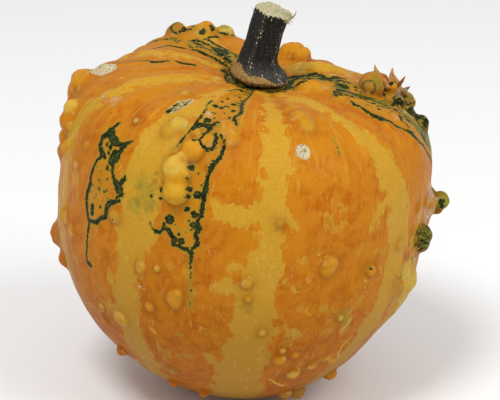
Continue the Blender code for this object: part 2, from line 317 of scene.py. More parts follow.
# ------------------------------------------------------------------------------------- markings
# A mark is (half width at its start, half width at its end, the places that it runs through).
YELLOW_STRIPES = (
    # front stripe, from the stalk to the base, with its side arms
    (1.0, 2.6, ((6, 72), (6.5, 50))),
    (3.0, 4.3, ((6.5, 50), (6.5, 37))),
    (4.3, 3.6, ((6.5, 37), (7, 22))),
    (2.2, 2.9, ((-9, 20), (-1, 20.5))),
    (3.0, 3.0, ((-1, 20.5), (6, 21))),
    (3.4, 1.4, ((7, 22), (14, 18.5))),
    (3.6, 4.2, ((7, 22), (6.5, 10))),
    (4.2, 6.4, ((6.5, 10), (5, -3))),
    (6.4, 6.0, ((5, -3), (5, -20))),
    (6.0, 7.2, ((5, -20), (3.5, -34))),
    (6.6, 8.0, ((3.5, -34), (7, -62))),
    (1.6, 1.0, ((-3, 4.5), (1, 4))),
    (2.2, 1.6, ((-4.5, -1), (0, -3))),
    (1.8, 0.9, ((-3, -31), (-9, -29))),
    (1.6, 0.8, ((15, 0), (19, 1))),
    (1.8, 0.8, ((15, -15), (21, -18))),
    # right front stripe
    (0.8, 2.0, ((27, 72), (37, 55))),
    (2.0, 3.4, ((37, 55), (43, 40))),
    (3.6, 5.4, ((43, 40), (51, 24))),
    (5.4, 5.0, ((51, 24), (55, 8))),
    (5.0, 4.4, ((55, 8), (52, -10))),
    (4.4, 5.2, ((52, -10), (49, -28))),
    (5.0, 3.4, ((49, -28), (46, -60))),
    (1.7, 0.9, ((45, 23), (39.5, 17))),
    # left front stripe, wide between the two green patches
    (0.9, 1.8, ((-28, 72), (-29, 56))),
    (2.4, 4.2, ((-29, 56), (-31, 40))),
    (4.6, 6.4, ((-31, 40), (-35, 24))),
    (6.6, 6.2, ((-35, 24), (-35, 8))),
    (5.4, 4.0, ((-35, 8), (-36.5, -6))),
    (3.6, 4.4, ((-36.5, -6), (-37, -24))),
    (4.2, 3.2, ((-37, -24), (-34, -60))),
    (1.8, 1.2, ((-40, -19), (-47, -21))),
    (1.3, 0.8, ((-41, -8), (-44, -14))),
    # left shoulder stripes
    (1.0, 2.0, ((-60, 74), (-64, 56))),
    (2.0, 2.6, ((-64, 56), (-71, 36))),
    (2.4, 3.4, ((-71, 36), (-75, 16))),
    (3.6, 3.2, ((-75, 16), (-73, -12))),
    (3.0, 2.6, ((-73, -12), (-70, -56))),
    # right flank, behind the second stripe
    (3.0, 2.6, ((68, -14), (67, -30), (60, -48))),
    (1.0, 3.0, ((70, 20), (66, -2))),
    (3.4, 3.8, ((64, -4), (62, -24))),
    # pale mound behind the dark band, right of the stalk
    (2.0, 5.5, ((140, 70), (132, 62))),
    (5.5, 4.5, ((132, 62), (126, 55))),
    (2.0, 1.0, ((66, 66), (75, 69))),
    # round the back, about evenly spaced
    (3.0, 4.6, ((96, 20), (94, -12))),
    (4.6, 3.0, ((94, -12), (90, -60))),
    (5.0, 4.4, ((132, 52), (128, 20))),
    (4.4, 5.2, ((128, 20), (124, -20))),
    (5.0, 3.0, ((124, -20), (126, -62))),
    (1.0, 4.2, ((176, 76), (172, 40))),
    (4.4, 5.4, ((172, 40), (166, 4))),
    (5.4, 3.2, ((166, 4), (164, -60))),
    (1.0, 3.8, ((-150, 74), (-148, 40))),
    (4.0, 5.0, ((-148, 38), (-152, 0))),
    (5.0, 3.2, ((-152, 0), (-156, -60))),
    (0.8, 2.8, ((-110, 74), (-108, 50))),
    (3.0, 4.6, ((-110, 42), (-112, 0))),
    (4.6, 3.0, ((-112, 0), (-114, -60))),
)

# Loose yellow patches beside the stripes, larger ones first: (turn, rise, radius)
YELLOW_PATCHES = (
    (16, -27, 1.3), (18.5, -31, 1.5), (27, -31, 1.4), (29.5, -29.5, 1.3), (27, -7.5, 0.8),
    (30.5, -8.5, 0.9), (33, -10.5, 1.1), (37, -12.5, 0.9), (39, -8, 0.7), (30.5, -17, 1.0),
    (-39.5, -22, 1.2), (-38.5, -25, 1.2), (-8, -19, 0.9), (-23.5, -30, 0.8), (-24, -34.5, 0.9),
    (-21.5, -24, 0.8), (-17.5, -23, 0.7), (-30, -40.5, 0.9), (22, 21, 0.7), (29, 22.5, 0.8),
    (28.5, 18, 0.7), (39.5, 18.5, 0.9), (42, 17.5, 0.8), (35.5, 10, 0.7), (43.5, 8.5, 0.7),
    (47, 8, 0.8), (33.5, 5.5, 0.6), (22.5, 14.5, 0.8), (-12, -40, 1.2), (0, -44, 1.6), (-12, -47, 1.4),
    (36, -30, 1.2), (44.5, -34, 1.4), (21, -8.5, 1.0), (-33, -36, 1.3), (-9.5, -19.5, 1.9),
    (-6.5, -19, 1.3), (30, -15.5, 2.0), (34, -12, 1.7), (37.5, -17, 1.9), (24, 20, 1.4),
    (30.5, -32.5, 2.0), (38.5, -29.5, 1.5), (20, -17.5, 1.3), (17.5, -21.5, 1.6), (-16.5, -31.5, 1.4),
    (-44, -14.5, 1.5), (-24, -31.5, 1.5), (-14.5, -30.5, 1.2), (-18.5, -25, 1.2), (21.5, 21, 1.5),
    (25.5, 24.5, 0.9), (27.5, 18, 1.2), (-6, 0.5, 1.0), (-8, -3.5, 0.9), (-22, 2, 0.8),
    (-16.5, 0.5, 0.8), (-13.5, -5.5, 0.8), (35.5, 9.5, 0.7), (41.5, -23, 1.2), (39.5, -6.5, 0.9),
    (19, -7.5, 1.2), (17, 7, 0.9), (-6, 21, 1.2), (-11, 22.5, 0.6), (-5, 27, 0.7), (-62, 8, 1.3),
    (-66, 13, 1.2), (-63, -10, 1.3), (-58, -26, 1.1), (52, -36, 1.3),
)

# Left patch: outline, mottled blocks and hooks
LEFT_LINES = (
    # roof, with its arm towards the front
    (0.5, 0.9, ((-52.5, 35), (-53.5, 33), (-54, 31))),
    (0.9, 0.8, ((-54, 31), (-55.5, 29.5), (-55.5, 27))),
    (1.3, 1.3, ((-53.5, 32), (-51.5, 30.5), (-49, 30))),
    (1.0, 0.4, ((-49, 30), (-46, 30), (-42, 32))),
    # left outline down to its loose end
    (0.8, 0.6, ((-55.5, 27), (-54, 25.5), (-52.5, 25))),
    (0.5, 0.5, ((-52.5, 25), (-54.5, 23.5), (-55.5, 20.5))),
    (0.6, 0.6, ((-55.5, 20.5), (-56, 18), (-55.5, 16))),
    (0.7, 0.8, ((-55.5, 16), (-57, 12.5), (-57, 10.5))),
    (0.7, 0.6, ((-57, 10.5), (-55.5, 6.5), (-54, 4.5))),
    (0.6, 0.35, ((-54, 4.5), (-54.5, 0), (-54, -3.5))),
    (0.35, 0.5, ((-54, -3.5), (-54.5, -5.5), (-54, -8))),
    (0.8, 0.6, ((-53.5, -8.5), (-52, -9))),
    # blocks and hooks of the right side
    (2.0, 1.6, ((-47, 26.5), (-48, 25))),
    (1.0, 0.4, ((-46, 27.5), (-45, 29), (-44, 30))),
    (1.1, 0.6, ((-54, 26), (-51.5, 25))),
    (0.5, 0.6, ((-47, 24.5), (-46.5, 22.5), (-45, 20.5))),
    (0.8, 1.6, ((-45, 20.5), (-43.5, 19.5), (-42.5, 18.5))),
    (1.3, 0.9, ((-42.5, 18.5), (-41, 17.5))),
    (0.9, 0.3, ((-42, 20.5), (-41, 22), (-41, 23))),
    (0.4, 0.5, ((-41.5, 17), (-43, 16))),
    # the cup that closes it below
    (0.9, 0.9, ((-53.5, 10), (-53, 8))),
    (0.6, 0.7, ((-54, 5), (-52, 5.5), (-50, 6))),
    (0.8, 0.7, ((-50, 6), (-48.5, 8), (-46.5, 9))),
    (0.7, 1.0, ((-46.5, 9), (-46.5, 12), (-45.5, 13.5))),
    (0.9, 0.5, ((-45.5, 13.5), (-43.5, 14.5), (-41.5, 15.5))),
)
LEFT_DOTS = (
    (-52.5, 28.5, 0.65), (-50.5, 28, 0.8), (-49, 22.5, 0.8), (-50.5, 26.5, 0.5), (-48, 19.5, 0.4),
    (-51.5, 18.5, 0.35), (-51, 16, 0.5), (-48.5, 16, 0.4), (-47.5, 16.5, 0.3), (-49.5, 11, 0.5),
    (-52, 14, 0.3), (-50.5, 17.5, 0.25), (-54, 16, 0.3), (-47, 14.5, 0.25), (-53.5, 21.5, 0.3),
    (-51.5, 21, 0.2), (-53, 12.5, 0.25), (-48.5, 13, 0.2), (-54.5, 14, 0.3),
)

# Centre patch, from the stalk down to its point
CENTRE_LINES = (
    # thin left outline and the ragged top
    (0.2, 0.3, ((-26.5, 55), (-24.5, 49.5), (-24, 45))),
    (0.3, 0.5, ((-24, 45), (-24, 42.5), (-24, 40.5), (-25.5, 36))),
    (0.3, 0.12, ((-25.5, 36), (-27, 33.5))),
    (0.4, 0.4, ((-28, 66), (-27, 70), (-22, 72.5), (-12, 72.5))),
    (0.5, 0.5, ((-6, 76), (-8.5, 70), (-9, 66), (-10.5, 58.5))),
    (0.5, 0.6, ((-10.5, 58.5), (-9.5, 53.5), (-9, 51), (-11, 49), (-10, 47))),
    (0.4, 0.2, ((-10, 47), (-8.5, 44.5))),
    (0.6, 0.9, ((-23.5, 40.5), (-22.5, 42.5), (-20.5, 43), (-18.5, 43))),
    (0.9, 0.6, ((-18.5, 43), (-17.5, 43), (-16, 44))),
    (0.9, 0.7, ((-17.5, 43), (-18, 41), (-18.5, 39.5))),
    (0.6, 0.5, ((-18.5, 39.5), (-19, 37.5), (-20.5, 37))),
    (0.5, 0.5, ((-18.5, 37), (-17.5, 36), (-16, 35.5))),
    (0.5, 0.45, ((-16, 35.5), (-14.5, 36), (-14, 37.5), (-14, 39.5), (-15, 40.5))),
    # the strong right outline down to the point
    (0.3, 0.7, ((-13, 40.5), (-11.5, 39), (-11, 37), (-11.5, 34.5))),
    (0.7, 0.8, ((-11.5, 34), (-13, 32), (-13.5, 30.5))),
    (0.5, 0.5, ((-13.5, 30.5), (-14, 28.5), (-14, 26.5))),
    (0.8, 0.7, ((-14, 26.5), (-14, 23.5), (-14, 20), (-14, 18))),
    (0.5, 0.5, ((-14, 18), (-15, 16.5), (-14, 14.5))),
    (0.8, 0.7, ((-14, 14.5), (-15, 12.5), (-14, 9.5))),
    (0.5, 0.6, ((-14, 9.5), (-15.5, 8), (-15.5, 5.5))),
    (0.5, 0.25, ((-15.5, 5.5), (-15.5, 2))),
    (0.2, 0.3, ((-29.5, 12.5), (-28.5, 11), (-27.5, 10.5))),
    (0.5, 0.5, ((-27.5, 10.5), (-26, 10.5), (-25, 12), (-25, 13.5))),
    (0.6, 0.8, ((-25, 12), (-23.5, 12), (-22, 10.5), (-21, 9.5))),
    (0.6, 0.6, ((-21.5, 9.5), (-21.5, 8), (-19.5, 8), (-18, 7.5), (-16, 7))),
)
CENTRE_DOTS = (
    # upper part
    (-22.5, 52.5, 0.75), (-19, 52.5, 0.7), (-17.5, 54, 0.65), (-15, 56.5, 0.7), (-13, 52.5, 0.65),
    (-20.5, 45, 1.0), (-15.5, 64, 0.4), (-19, 71.5, 0.4), (-14.5, 69, 0.35), (-19, 64.5, 0.3),
    (-18.5, 46.5, 0.25), (-12, 61, 0.3), (-14, 58.5, 0.3), (-21, 60, 0.3), (-17, 67, 0.3),
    (-20, 49, 0.25), (-13, 48.5, 0.3), (-16, 50, 0.2), (-22, 56.5, 0.25),
    # lower part
    (-19.5, 30, 0.9), (-18.5, 24.5, 0.8), (-18.5, 22.5, 0.6), (-16, 23.5, 1.2), (-18.5, 19, 0.9),
    (-16, 18, 1.1), (-16, 15, 1.0), (-23.5, 15, 1.35), (-19, 9.5, 1.1), (-13.5, 33, 0.5),
    (-17, 8, 0.35), (-20, 11.5, 0.45), (-16.5, 13.5, 0.35), (-17.5, 16, 0.35), (-17, 29, 0.3),
    (-13.5, 36.5, 0.35), (-27.5, 22.5, 0.55), (-27, 20, 0.55), (-30.5, 20, 0.5), (-20.5, 13, 0.25),
    (-22, 17.5, 0.25), (-18, 12.5, 0.25), (-15.5, 26, 0.3), (-19.5, 27, 0.25), (-21.5, 14, 0.2),
)

# Lines round the stalk's foot and over the shoulders
TOP_LINES = (
    # round the stalk's foot: partly green marks, partly painted shadow under the stalk
    (0.7, 0.5, ((-130, 75.5), (-124, 77), (-103, 79.5), (-75, 80.5), (-50, 80))),
    (1.0, 1.2, ((-40, 80), (-18, 80), (-2, 79.5))),
    (0.6, 0.6, ((-2, 79.5), (12, 79), (22, 78.5))),
    (1.0, 1.1, ((22, 78.5), (32, 77.5))),
    (0.7, 0.5, ((32, 77.5), (30, 75), (36, 73.5))),
    (0.6, 0.8, ((34, 78), (60, 78), (86, 78))),
    (0.8, 0.8, ((44, 76.5), (60, 76), (72, 76))),
    (0.6, 0.6, ((140, 77), (180, 77), (-140, 77), (-125, 77))),
    (0.6, 0.5, ((-83, 78), (-75, 80.5))),
    # outer line over the left shoulder
    (0.4, 0.55, ((-132, 43), (-132.5, 47), (-133, 50), (-133, 53.5))),
    (0.5, 0.4, ((-133, 48.5), (-134, 50), (-135, 52))),
    (0.4, 0.35, ((-132, 52), (-131.5, 53.5))),
    # strong inner line, from the shoulder to the stalk
    (0.4, 0.5, ((-116.5, 51), (-122.5, 50.5), (-125.5, 52.5), (-125.5, 55.5))),
    (0.55, 0.6, ((-125.5, 55.5), (-126, 57.5), (-130.5, 59.5), (-131, 60.5))),
    (0.7, 0.6, ((-131, 60.5), (-130.5, 64), (-131, 67))),
    (0.6, 0.5, ((-131, 67), (-131.5, 70.5), (-129, 75), (-121, 78))),
    # line from the cork scar
    (0.35, 0.6, ((-97.5, 43), (-99, 48), (-96.5, 52.5), (-94, 55))),
    (0.6, 0.35, ((-94, 55), (-93, 57), (-94.5, 58.5))),
    (0.35, 0.55, ((-96, 60.5), (-95, 62), (-95.5, 63.5))),
    (0.55, 0.3, ((-95.5, 63.5), (-95, 65), (-94, 66.5))),
    # mottled band behind them
    (0.5, 0.45, ((-147.5, 55.5), (-149, 57), (-149.5, 59.5))),
    (0.5, 0.7, ((-149.5, 59.5), (-152, 63.5), (-155, 65))),
    (0.8, 0.7, ((-155, 65), (-158, 65.5), (-159, 67))),
    (0.45, 0.4, ((-139, 55.5), (-140, 57.5))),
    (0.7, 0.6, ((-136.5, 58), (-138, 59))),
    (0.5, 0.4, ((-133, 59.5), (-136, 61.5))),
    (0.45, 0.4, ((-131.5, 58), (-132, 59))),
    (0.5, 0.4, ((-142, 61), (-145.5, 59.5))),
    (0.5, 0.5, ((-141.5, 63.5), (-142, 64.5))),
    (0.5, 0.8, ((-140.5, 64.5), (-140.5, 66), (-141, 67.5))),
    (0.8, 1.0, ((-147.5, 63.5), (-149, 65), (-151.5, 66.5))),
    (0.4, 0.35, ((-135, 66), (-135.5, 67))),
    (0.5, 0.5, ((-140, 68.5), (-148.5, 69))),
    (0.6, 0.5, ((-139, 70), (-141, 72.5))),
    (0.35, 0.35, ((-132, 69.5), (-132, 71), (-131.5, 73.5))),
    (0.4, 0.5, ((-116, 75), (-126.5, 76.5))),
    (0.35, 0.45, ((-103.5, 75), (-112, 76), (-120, 77.5))),
    # dark band right of the stalk, between the two mounds
    (0.8, 1.0, ((86, 78), (98.5, 77), (108.5, 76))),
    (1.0, 0.9, ((62, 73), (58, 73.5), (52, 74))),
    (0.7, 0.6, ((50, 72.5), (51.5, 72), (59, 72))),
    (0.4, 0.3, ((59, 72), (61.5, 71))),
    (0.6, 0.8, ((126, 75), (120, 71.5), (118, 67.5))),
    (0.9, 0.6, ((118, 67.5), (115.5, 66), (109.5, 65), (106.5, 64))),
    (0.5, 0.5, ((103, 73), (102.5, 70.5), (107, 67), (104, 65))),
    (0.45, 0.6, ((104.5, 64.5), (109, 61.5), (109, 60.5))),
    (0.6, 0.4, ((109, 60.5), (107.5, 58))),
    # leaf-shaped green block in front of the mound, and the strands that run on from it
    (0.6, 0.9, ((95.5, 61), (94.5, 60), (93, 58.5))),
    (0.7, 0.9, ((69.5, 61.5), (70.5, 59.5))),
    (0.5, 0.4, ((73.5, 58), (78.5, 57), (79.5, 54))),
    (0.35, 0.35, ((66.5, 60), (67.5, 58.5), (68.5, 56.5), (73.5, 55.5))),
    (0.45, 0.4, ((67, 62), (60, 60), (57, 58.5))),
    (0.35, 0.35, ((60.5, 60), (60, 58.5), (64.5, 57))),
    (0.6, 0.6, ((82.5, 54), (81, 52.5), (83, 50.5))),
    # dark lower edge of the green strip under it
    (0.5, 0.4, ((67, 62), (66, 59.5), (68, 57.5), (68.5, 55.5))),
    (0.4, 0.5, ((68.5, 55.5), (72, 53.5), (76, 52.5), (80, 51.5))),
    (0.4, 0.5, ((71, 58.5), (74, 56.5), (76, 54.5))),
    (0.3, 0.4, ((76.5, 57), (80, 55.5), (80.5, 53.5))),
    # strong lower line of the band, down the flank
    (0.75, 0.5, ((62, 54.5), (61, 53.5))),
    (0.5, 0.55, ((61, 53.5), (61.5, 52), (60.5, 48.5))),
    (0.55, 0.9, ((60.5, 48.5), (60.5, 47), (61, 45.5))),
    (0.9, 0.85, ((61, 45.5), (62.5, 44.5), (64.5, 43), (65, 41.5))),
    (0.75, 0.75, ((65, 41.5), (67, 40), (70, 36.5))),
    (0.7, 0.6, ((70, 36.5), (72, 34.5), (77, 31.5))),
    (0.6, 0.6, ((77, 31.5), (80, 28), (83.5, 24.5), (87, 21))),
    # strokes above it
    (0.3, 0.4, ((67.5, 52), (67.5, 51))),
    (0.4, 0.3, ((70.5, 52), (70.5, 50.5), (75, 50))),
    (0.25, 0.3, ((72.5, 48.5), (74.5, 47), (78, 46))),
    (0.4, 0.4, ((76, 43), (70.5, 41.5))),
    (0.4, 0.4, ((71.5, 40), (71.5, 39))),
    (0.3, 0.3, ((69, 38.5), (71.5, 37))),
    (0.25, 0.25, ((76.5, 42), (75, 38.5))),
    (0.5, 0.4, ((95, 35.5), (95, 34.5))),
    (0.8, 0.7, ((92.5, 34.5), (91, 33.5))),
    # gaps in the crowded group, and behind it
    (0.6, 0.6, ((100.5, 47.5), (94.5, 47.5))),
    (0.6, 0.7, ((89, 45), (82.5, 45.5))),
    (1.0, 0.9, ((89.5, 40), (93.5, 38), (93.5, 36.5))),
    (0.9, 0.9, ((98, 38), (101, 34), (100, 29), (94, 25))),
    (0.6, 0.5, ((94, 25), (92, 22), (96, 16), (100, 6))),
    # faint smear under the centre patch
    (0.3, 0.15, ((-15.5, 2.5), (-15, 0.5), (-15, -1.5))),
    (0.12, 0.1, ((-14.5, -4), (-14.5, -5.5))),
    (0.15, 0.1, ((-14.5, -9), (-14.5, -10.5))),
    # small smudge of dashes on the front
    (0.25, 0.15, ((28.5, 42), (28.5, 40.5))),
    (0.15, 0.12, ((29, 39.5), (29, 38), (29, 36.5))),
    # strokes over the cracked scar
    (0.6, 0.4, ((-37.5, 44), (-37, 46))),
    (0.3, 0.2, ((-37.5, 46.5), (-37, 48.5), (-36, 50.5))),
    (0.25, 0.15, ((-36, 45), (-34.5, 47.5), (-34, 49))),
    (0.2, 0.15, ((-36.5, 46.5), (-35.5, 49))),
    (0.2, 0.15, ((-35, 49.5), (-34.5, 51))),
)
TOP_DOTS = (
    # above the strong line of the right band
    (66.5, 53.5, 0.35), (71, 50.5, 0.45), (67.5, 50, 0.3), (70.5, 49, 0.45), (68.5, 48, 0.75),
    (71, 52.5, 0.35), (65.5, 51.5, 0.25), (73.5, 52.5, 0.3), (66, 47, 0.25), (70.5, 45.5, 0.35),
    (67.5, 44.5, 0.3), (74, 45, 0.35), (73, 37, 0.4), (74.5, 34.5, 0.35), (77.5, 32, 0.35),
    (91, 36.5, 0.7), (92.5, 35, 0.6), (90, 33.5, 0.5), (88.5, 32, 0.5), (87, 33.5, 0.35),
    (84.5, 36.5, 0.35),
    # crowded shoulder group
    (97, 46.5, 0.4), (97.5, 45.5, 0.35), (95.5, 37.5, 0.6), (100.5, 34.5, 0.8), (95.5, 31, 1.0),
    (90, 35.5, 0.4), (93.5, 30, 0.6), (90, 31, 0.4), (88, 33.5, 0.35),
    # flank, and single dots
    (62, 6, 0.4), (62, 7, 0.25), (66, 0.5, 0.35), (67.5, 1, 0.2), (57.5, 19, 0.2), (64, 9, 0.25),
    (41, 3.5, 0.45), (-42.5, 9.5, 0.25), (16.5, 38.5, 0.28), (-44.5, 38, 0.15),
)

# Green spots on the sides of lumps: (turn, rise, height above the body, radius)
LUMP_SPOTS = (
    (-151.1, 52.0, 0.7, 1.2),
    (-155.7, 52.9, 2.1, 1.05),
    (-152.6, 54.6, 0.0, 1.2),
    (-155.5, 54.2, 0.0, 1.0),
    (-158.0, 52.8, 0.0, 0.9),
    (-150.6, 55.6, -0.1, 0.7),
    (94.2, 50.3, 3.5, 0.7),
    (91.1, 46.0, 2.0, 0.6),
    (88.5, 43.5, 1.1, 0.8),
    (88.4, 44.2, 0.6, 0.6),
    (95.3, 43.1, 2.1, 0.5),
    (91.5, 44.6, 2.6, 0.4),
    (92.5, 41.5, 1.5, 0.8),
    (93.5, 40.5, 2.3, 0.5),
    (91, 44, 2.7, 0.45),
    (85.6, 12.2, 3.1, 1.1),
    (85.8, 10.6, 3.3, 0.9),
)

# Green lines on lumps: (half width, the places and heights that the line runs through)
LUMP_LINES = (
    (0.55, ((-138.9, 48.9, 2.6), (-137.8, 48.7, 2), (-137.4, 49.3, 1.4),
            (-138.4, 50.1, 0.8), (-140.4, 50.9, 1))),
    (0.5, ((-140.4, 50.9, 1), (-143.6, 50.8, 1.1), (-147.2, 50.3, 1.5), (-148.6, 50.2, 2.1))),
    (0.35, ((-138.9, 48.9, 2.6), (-140.8, 49.6, 3))),
    (0.35, ((-159.3, 51.9, 1.2), (-161.6, 52.1, 0.7), (-164, 52.4, 0.7), (-166.9, 51.7, 0.5))),
    (0.3, ((-157, 52.2, 2), (-159, 51.6, 2))),
    # foot of the large ball, and the gaps beside the next one
    (0.45, ((104.3, 62.5, 0.1), (99.6, 58.5, 0.1), (97.2, 56.4, 0.1), (90.1, 55.2, 0.1), (82.5, 54, 0))),
    (0.4, ((94.2, 50.3, 3.5), (95.5, 48.5, 2.2), (98, 47.4, 1))),
    (0.4, ((91.1, 46, 2), (89, 45.1, 0.6), (84, 45.4, 0.1))),
    # mottled wart on the flank
    (0.3, ((66.8, 9.6, 0.1), (68.9, 6.6, 0.5), (69.6, 4.5, 1.4), (69.3, 3, 0.3))),
    (0.28, ((70.7, 9.2, 1.4), (69.6, 7, 2.1), (70.4, 5.4, 2.6), (70, 3.4, 1.6))),
    (0.25, ((68.4, 8.2, 0.6), (70.6, 7.6, 2.4), (71.6, 6, 3.2))),
    (0.25, ((68.6, 5, 0.8), (70.2, 4.4, 2), (71.4, 4.6, 2.8))),
    (0.25, ((68.2, 4.2, 0.2), (69.6, 5.8, 1.6), (70, 7.8, 1.8))),
)

# Tints on lumps, given like the lines: (palette name, strength, half width, places and heights)
LUMP_TINTS = (
    # shaded far side of the large ball
    ("olive", 0.8, 1.1, ((93.1, 54, 5.1), (91.7, 52.5, 4.4), (90.6, 50.8, 3.2))),
    # worn tops low on the left
    ("smoke", 0.8, 0.6, ((-48.6, -22, 1.1), (-48.9, -23, 1.1))),
    ("dusty grey", 0.7, 0.7, ((-22.9, -41, 1.1), (-22.4, -42, 1.0))),
    # pale far lump behind the stalk, and the warts on the flank
    ("lime", 0.75, 1.0, ((-162.4, 51.4, 2.7), (-163.6, 51.7, 2.6))),
    ("grass", 0.65, 1.7, ((70.3, 7.2, 2.2), (70.1, 4.2, 2.0))),
    ("lime", 0.7, 1.0, ((72, 7.3, 3.3), (71.6, 3.9, 2.8))),
    ("lime", 0.8, 1.3, ((86.2, 12.8, 4.4), (86.4, 10.8, 4.6))),
    # dried skin in the crowded group
    ("dusty grey", 0.8, 0.9, ((90.5, 45.2, 2.7), (90, 44.4, 2.2))),
    ("dusty grey", 0.8, 0.9, ((82.8, 42.1, 0.4), (80.8, 44, 0.3))),
    ("moss", 0.7, 1.1, ((94, 42, 2.8), (96, 44, 2.8))),
    ("dusty grey", 0.8, 1.4, ((98, 54.5, 4.2), (100, 53, 4))),
    ("rust", 0.7, 1.4, ((108, 47, 3), (106, 46, 3.6))),
)

# Dark rings on the large ball: (palette name, strength, place and height of the middle, radius,
# half width)
LUMP_RINGS = (
    ("moss", 0.85, (87, 54.2, 2.6), 2.15, 0.45),
    ("olive", 0.6, (87, 54.2, 2.6), 1.0, 0.25),
)

# Nets of short green strokes over mottled warts: (turn, rise, radius)
GREEN_NETS = ((69.3, 7.2, 3.0), (69.5, 4, 2.6), (91, 43, 2.6), (94, 32, 3.0))

# Faint greenish specks in the yellow between the two front patches, and low on the right
FAINT_NETS = (
    (-33, 20, 3.6), (-30, 24.5, 2.6), (-36, 15.5, 2.4), (-30, 16.5, 2.0),
    (33, -11, 2.4), (38, -15, 2.0),
)

# Bands of fine dark strands that follow a path: (how far they spread to each side, how many, path)
GREEN_BANDS = (
    (2.4, 34, ((-135, 54), (-137, 60), (-140, 67), (-138, 76))),
    (1.8, 14, ((-146, 60), (-150, 65), (-152, 71))),
    (2.2, 34, ((116, 77), (112, 73), (109, 69), (104, 64.5))),
    (1.4, 18, ((104, 64.5), (99.5, 61), (95, 58.5))),
    (1.0, 12, ((60, 73), (55, 73), (48, 74))),
    (1.0, 12, ((100, 77.5), (80, 77.5), (60, 76.5))),
    (1.7, 12, ((78, 60.5), (73, 58), (76, 54.5), (82, 50.5))),
    (1.3, 8, ((81, 50.5), (80, 46), (80, 42))),
    (2.2, 18, ((78, 44), (78, 41), (81, 36), (86, 30))),
    (2.6, 26, ((90, 41), (89, 36), (93, 27))),
    (1.6, 16, ((93, 39), (92, 35), (88, 31))),
    # round the stalk's foot: partly strands, partly painted shadow under the stalk
    (1.0, 10, ((-100, 77), (-60, 78.5), (-20, 78.5))),
)

# Ochre ground inside the green patches: it keeps the stripes out
LEFT_GROUND = (
    (3.0, 4.2, ((-51, 30), (-51.5, 22))),
    (4.2, 4.0, ((-51.5, 22), (-51, 14))),
    (4.0, 2.0, ((-51, 14), (-52.5, 8))),
)
CENTRE_GROUND = (
    (2.5, 3.5, ((-16, 68), (-16.5, 56))),
    (3.5, 3.2, ((-16.5, 56), (-17, 46))),
    (3.2, 4.0, ((-17.5, 46), (-18, 34))),
    (4.6, 5.0, ((-19, 34), (-20, 24))),
    (5.0, 4.2, ((-20, 24), (-20.5, 15))),
    (4.2, 2.0, ((-20.5, 15), (-17, 8.5))),
)
TOP_GROUND = (
    (3.0, 4.0, ((-134, 74), (-136, 52))),
    (1.8, 2.2, ((118, 76), (110, 72), (110, 66), (105, 61))),
    (2.2, 3.5, ((105, 61), (90, 57), (80, 52))),
    (3.0, 4.0, ((68, 56), (70, 47))),
    (3.5, 4.0, ((71, 44), (80, 34))),
    (4.5, 4.5, ((92, 38), (92, 30))),
)

# The two front patches: (place that they are moved by, lines, dots, ground)
FRONT_PATCHES = {
    "left": ((-51, 32), LEFT_LINES, LEFT_DOTS, LEFT_GROUND),
    "centre": ((-18, 60), CENTRE_LINES, CENTRE_DOTS, CENTRE_GROUND),
}

# The back has patches of the same kind as the two in front: (which, turn it is moved to, width in turn
# compared with the front one, negative for mirrored, height compared with it, rise of its top)
BACK_PATCHES = (
    ("left", -124, -0.8, 1.3, 38),
    ("centre", -160, -1.1, 0.8, 40),
    ("left", 172, 1.0, 1.1, 36),
    ("centre", 147, 0.9, 0.95, 34),
    ("left", 112, -0.8, 0.9, 22),
    ("left", -96, 0.7, 0.8, 6),
    ("left", 128, 0.6, 0.7, -6),
)

# Loose yellow blotches scattered over the back
BACK_BLOTCHES = 90
BACK_TURNS = (62, 300)
BACK_RISES = (-50, 30)
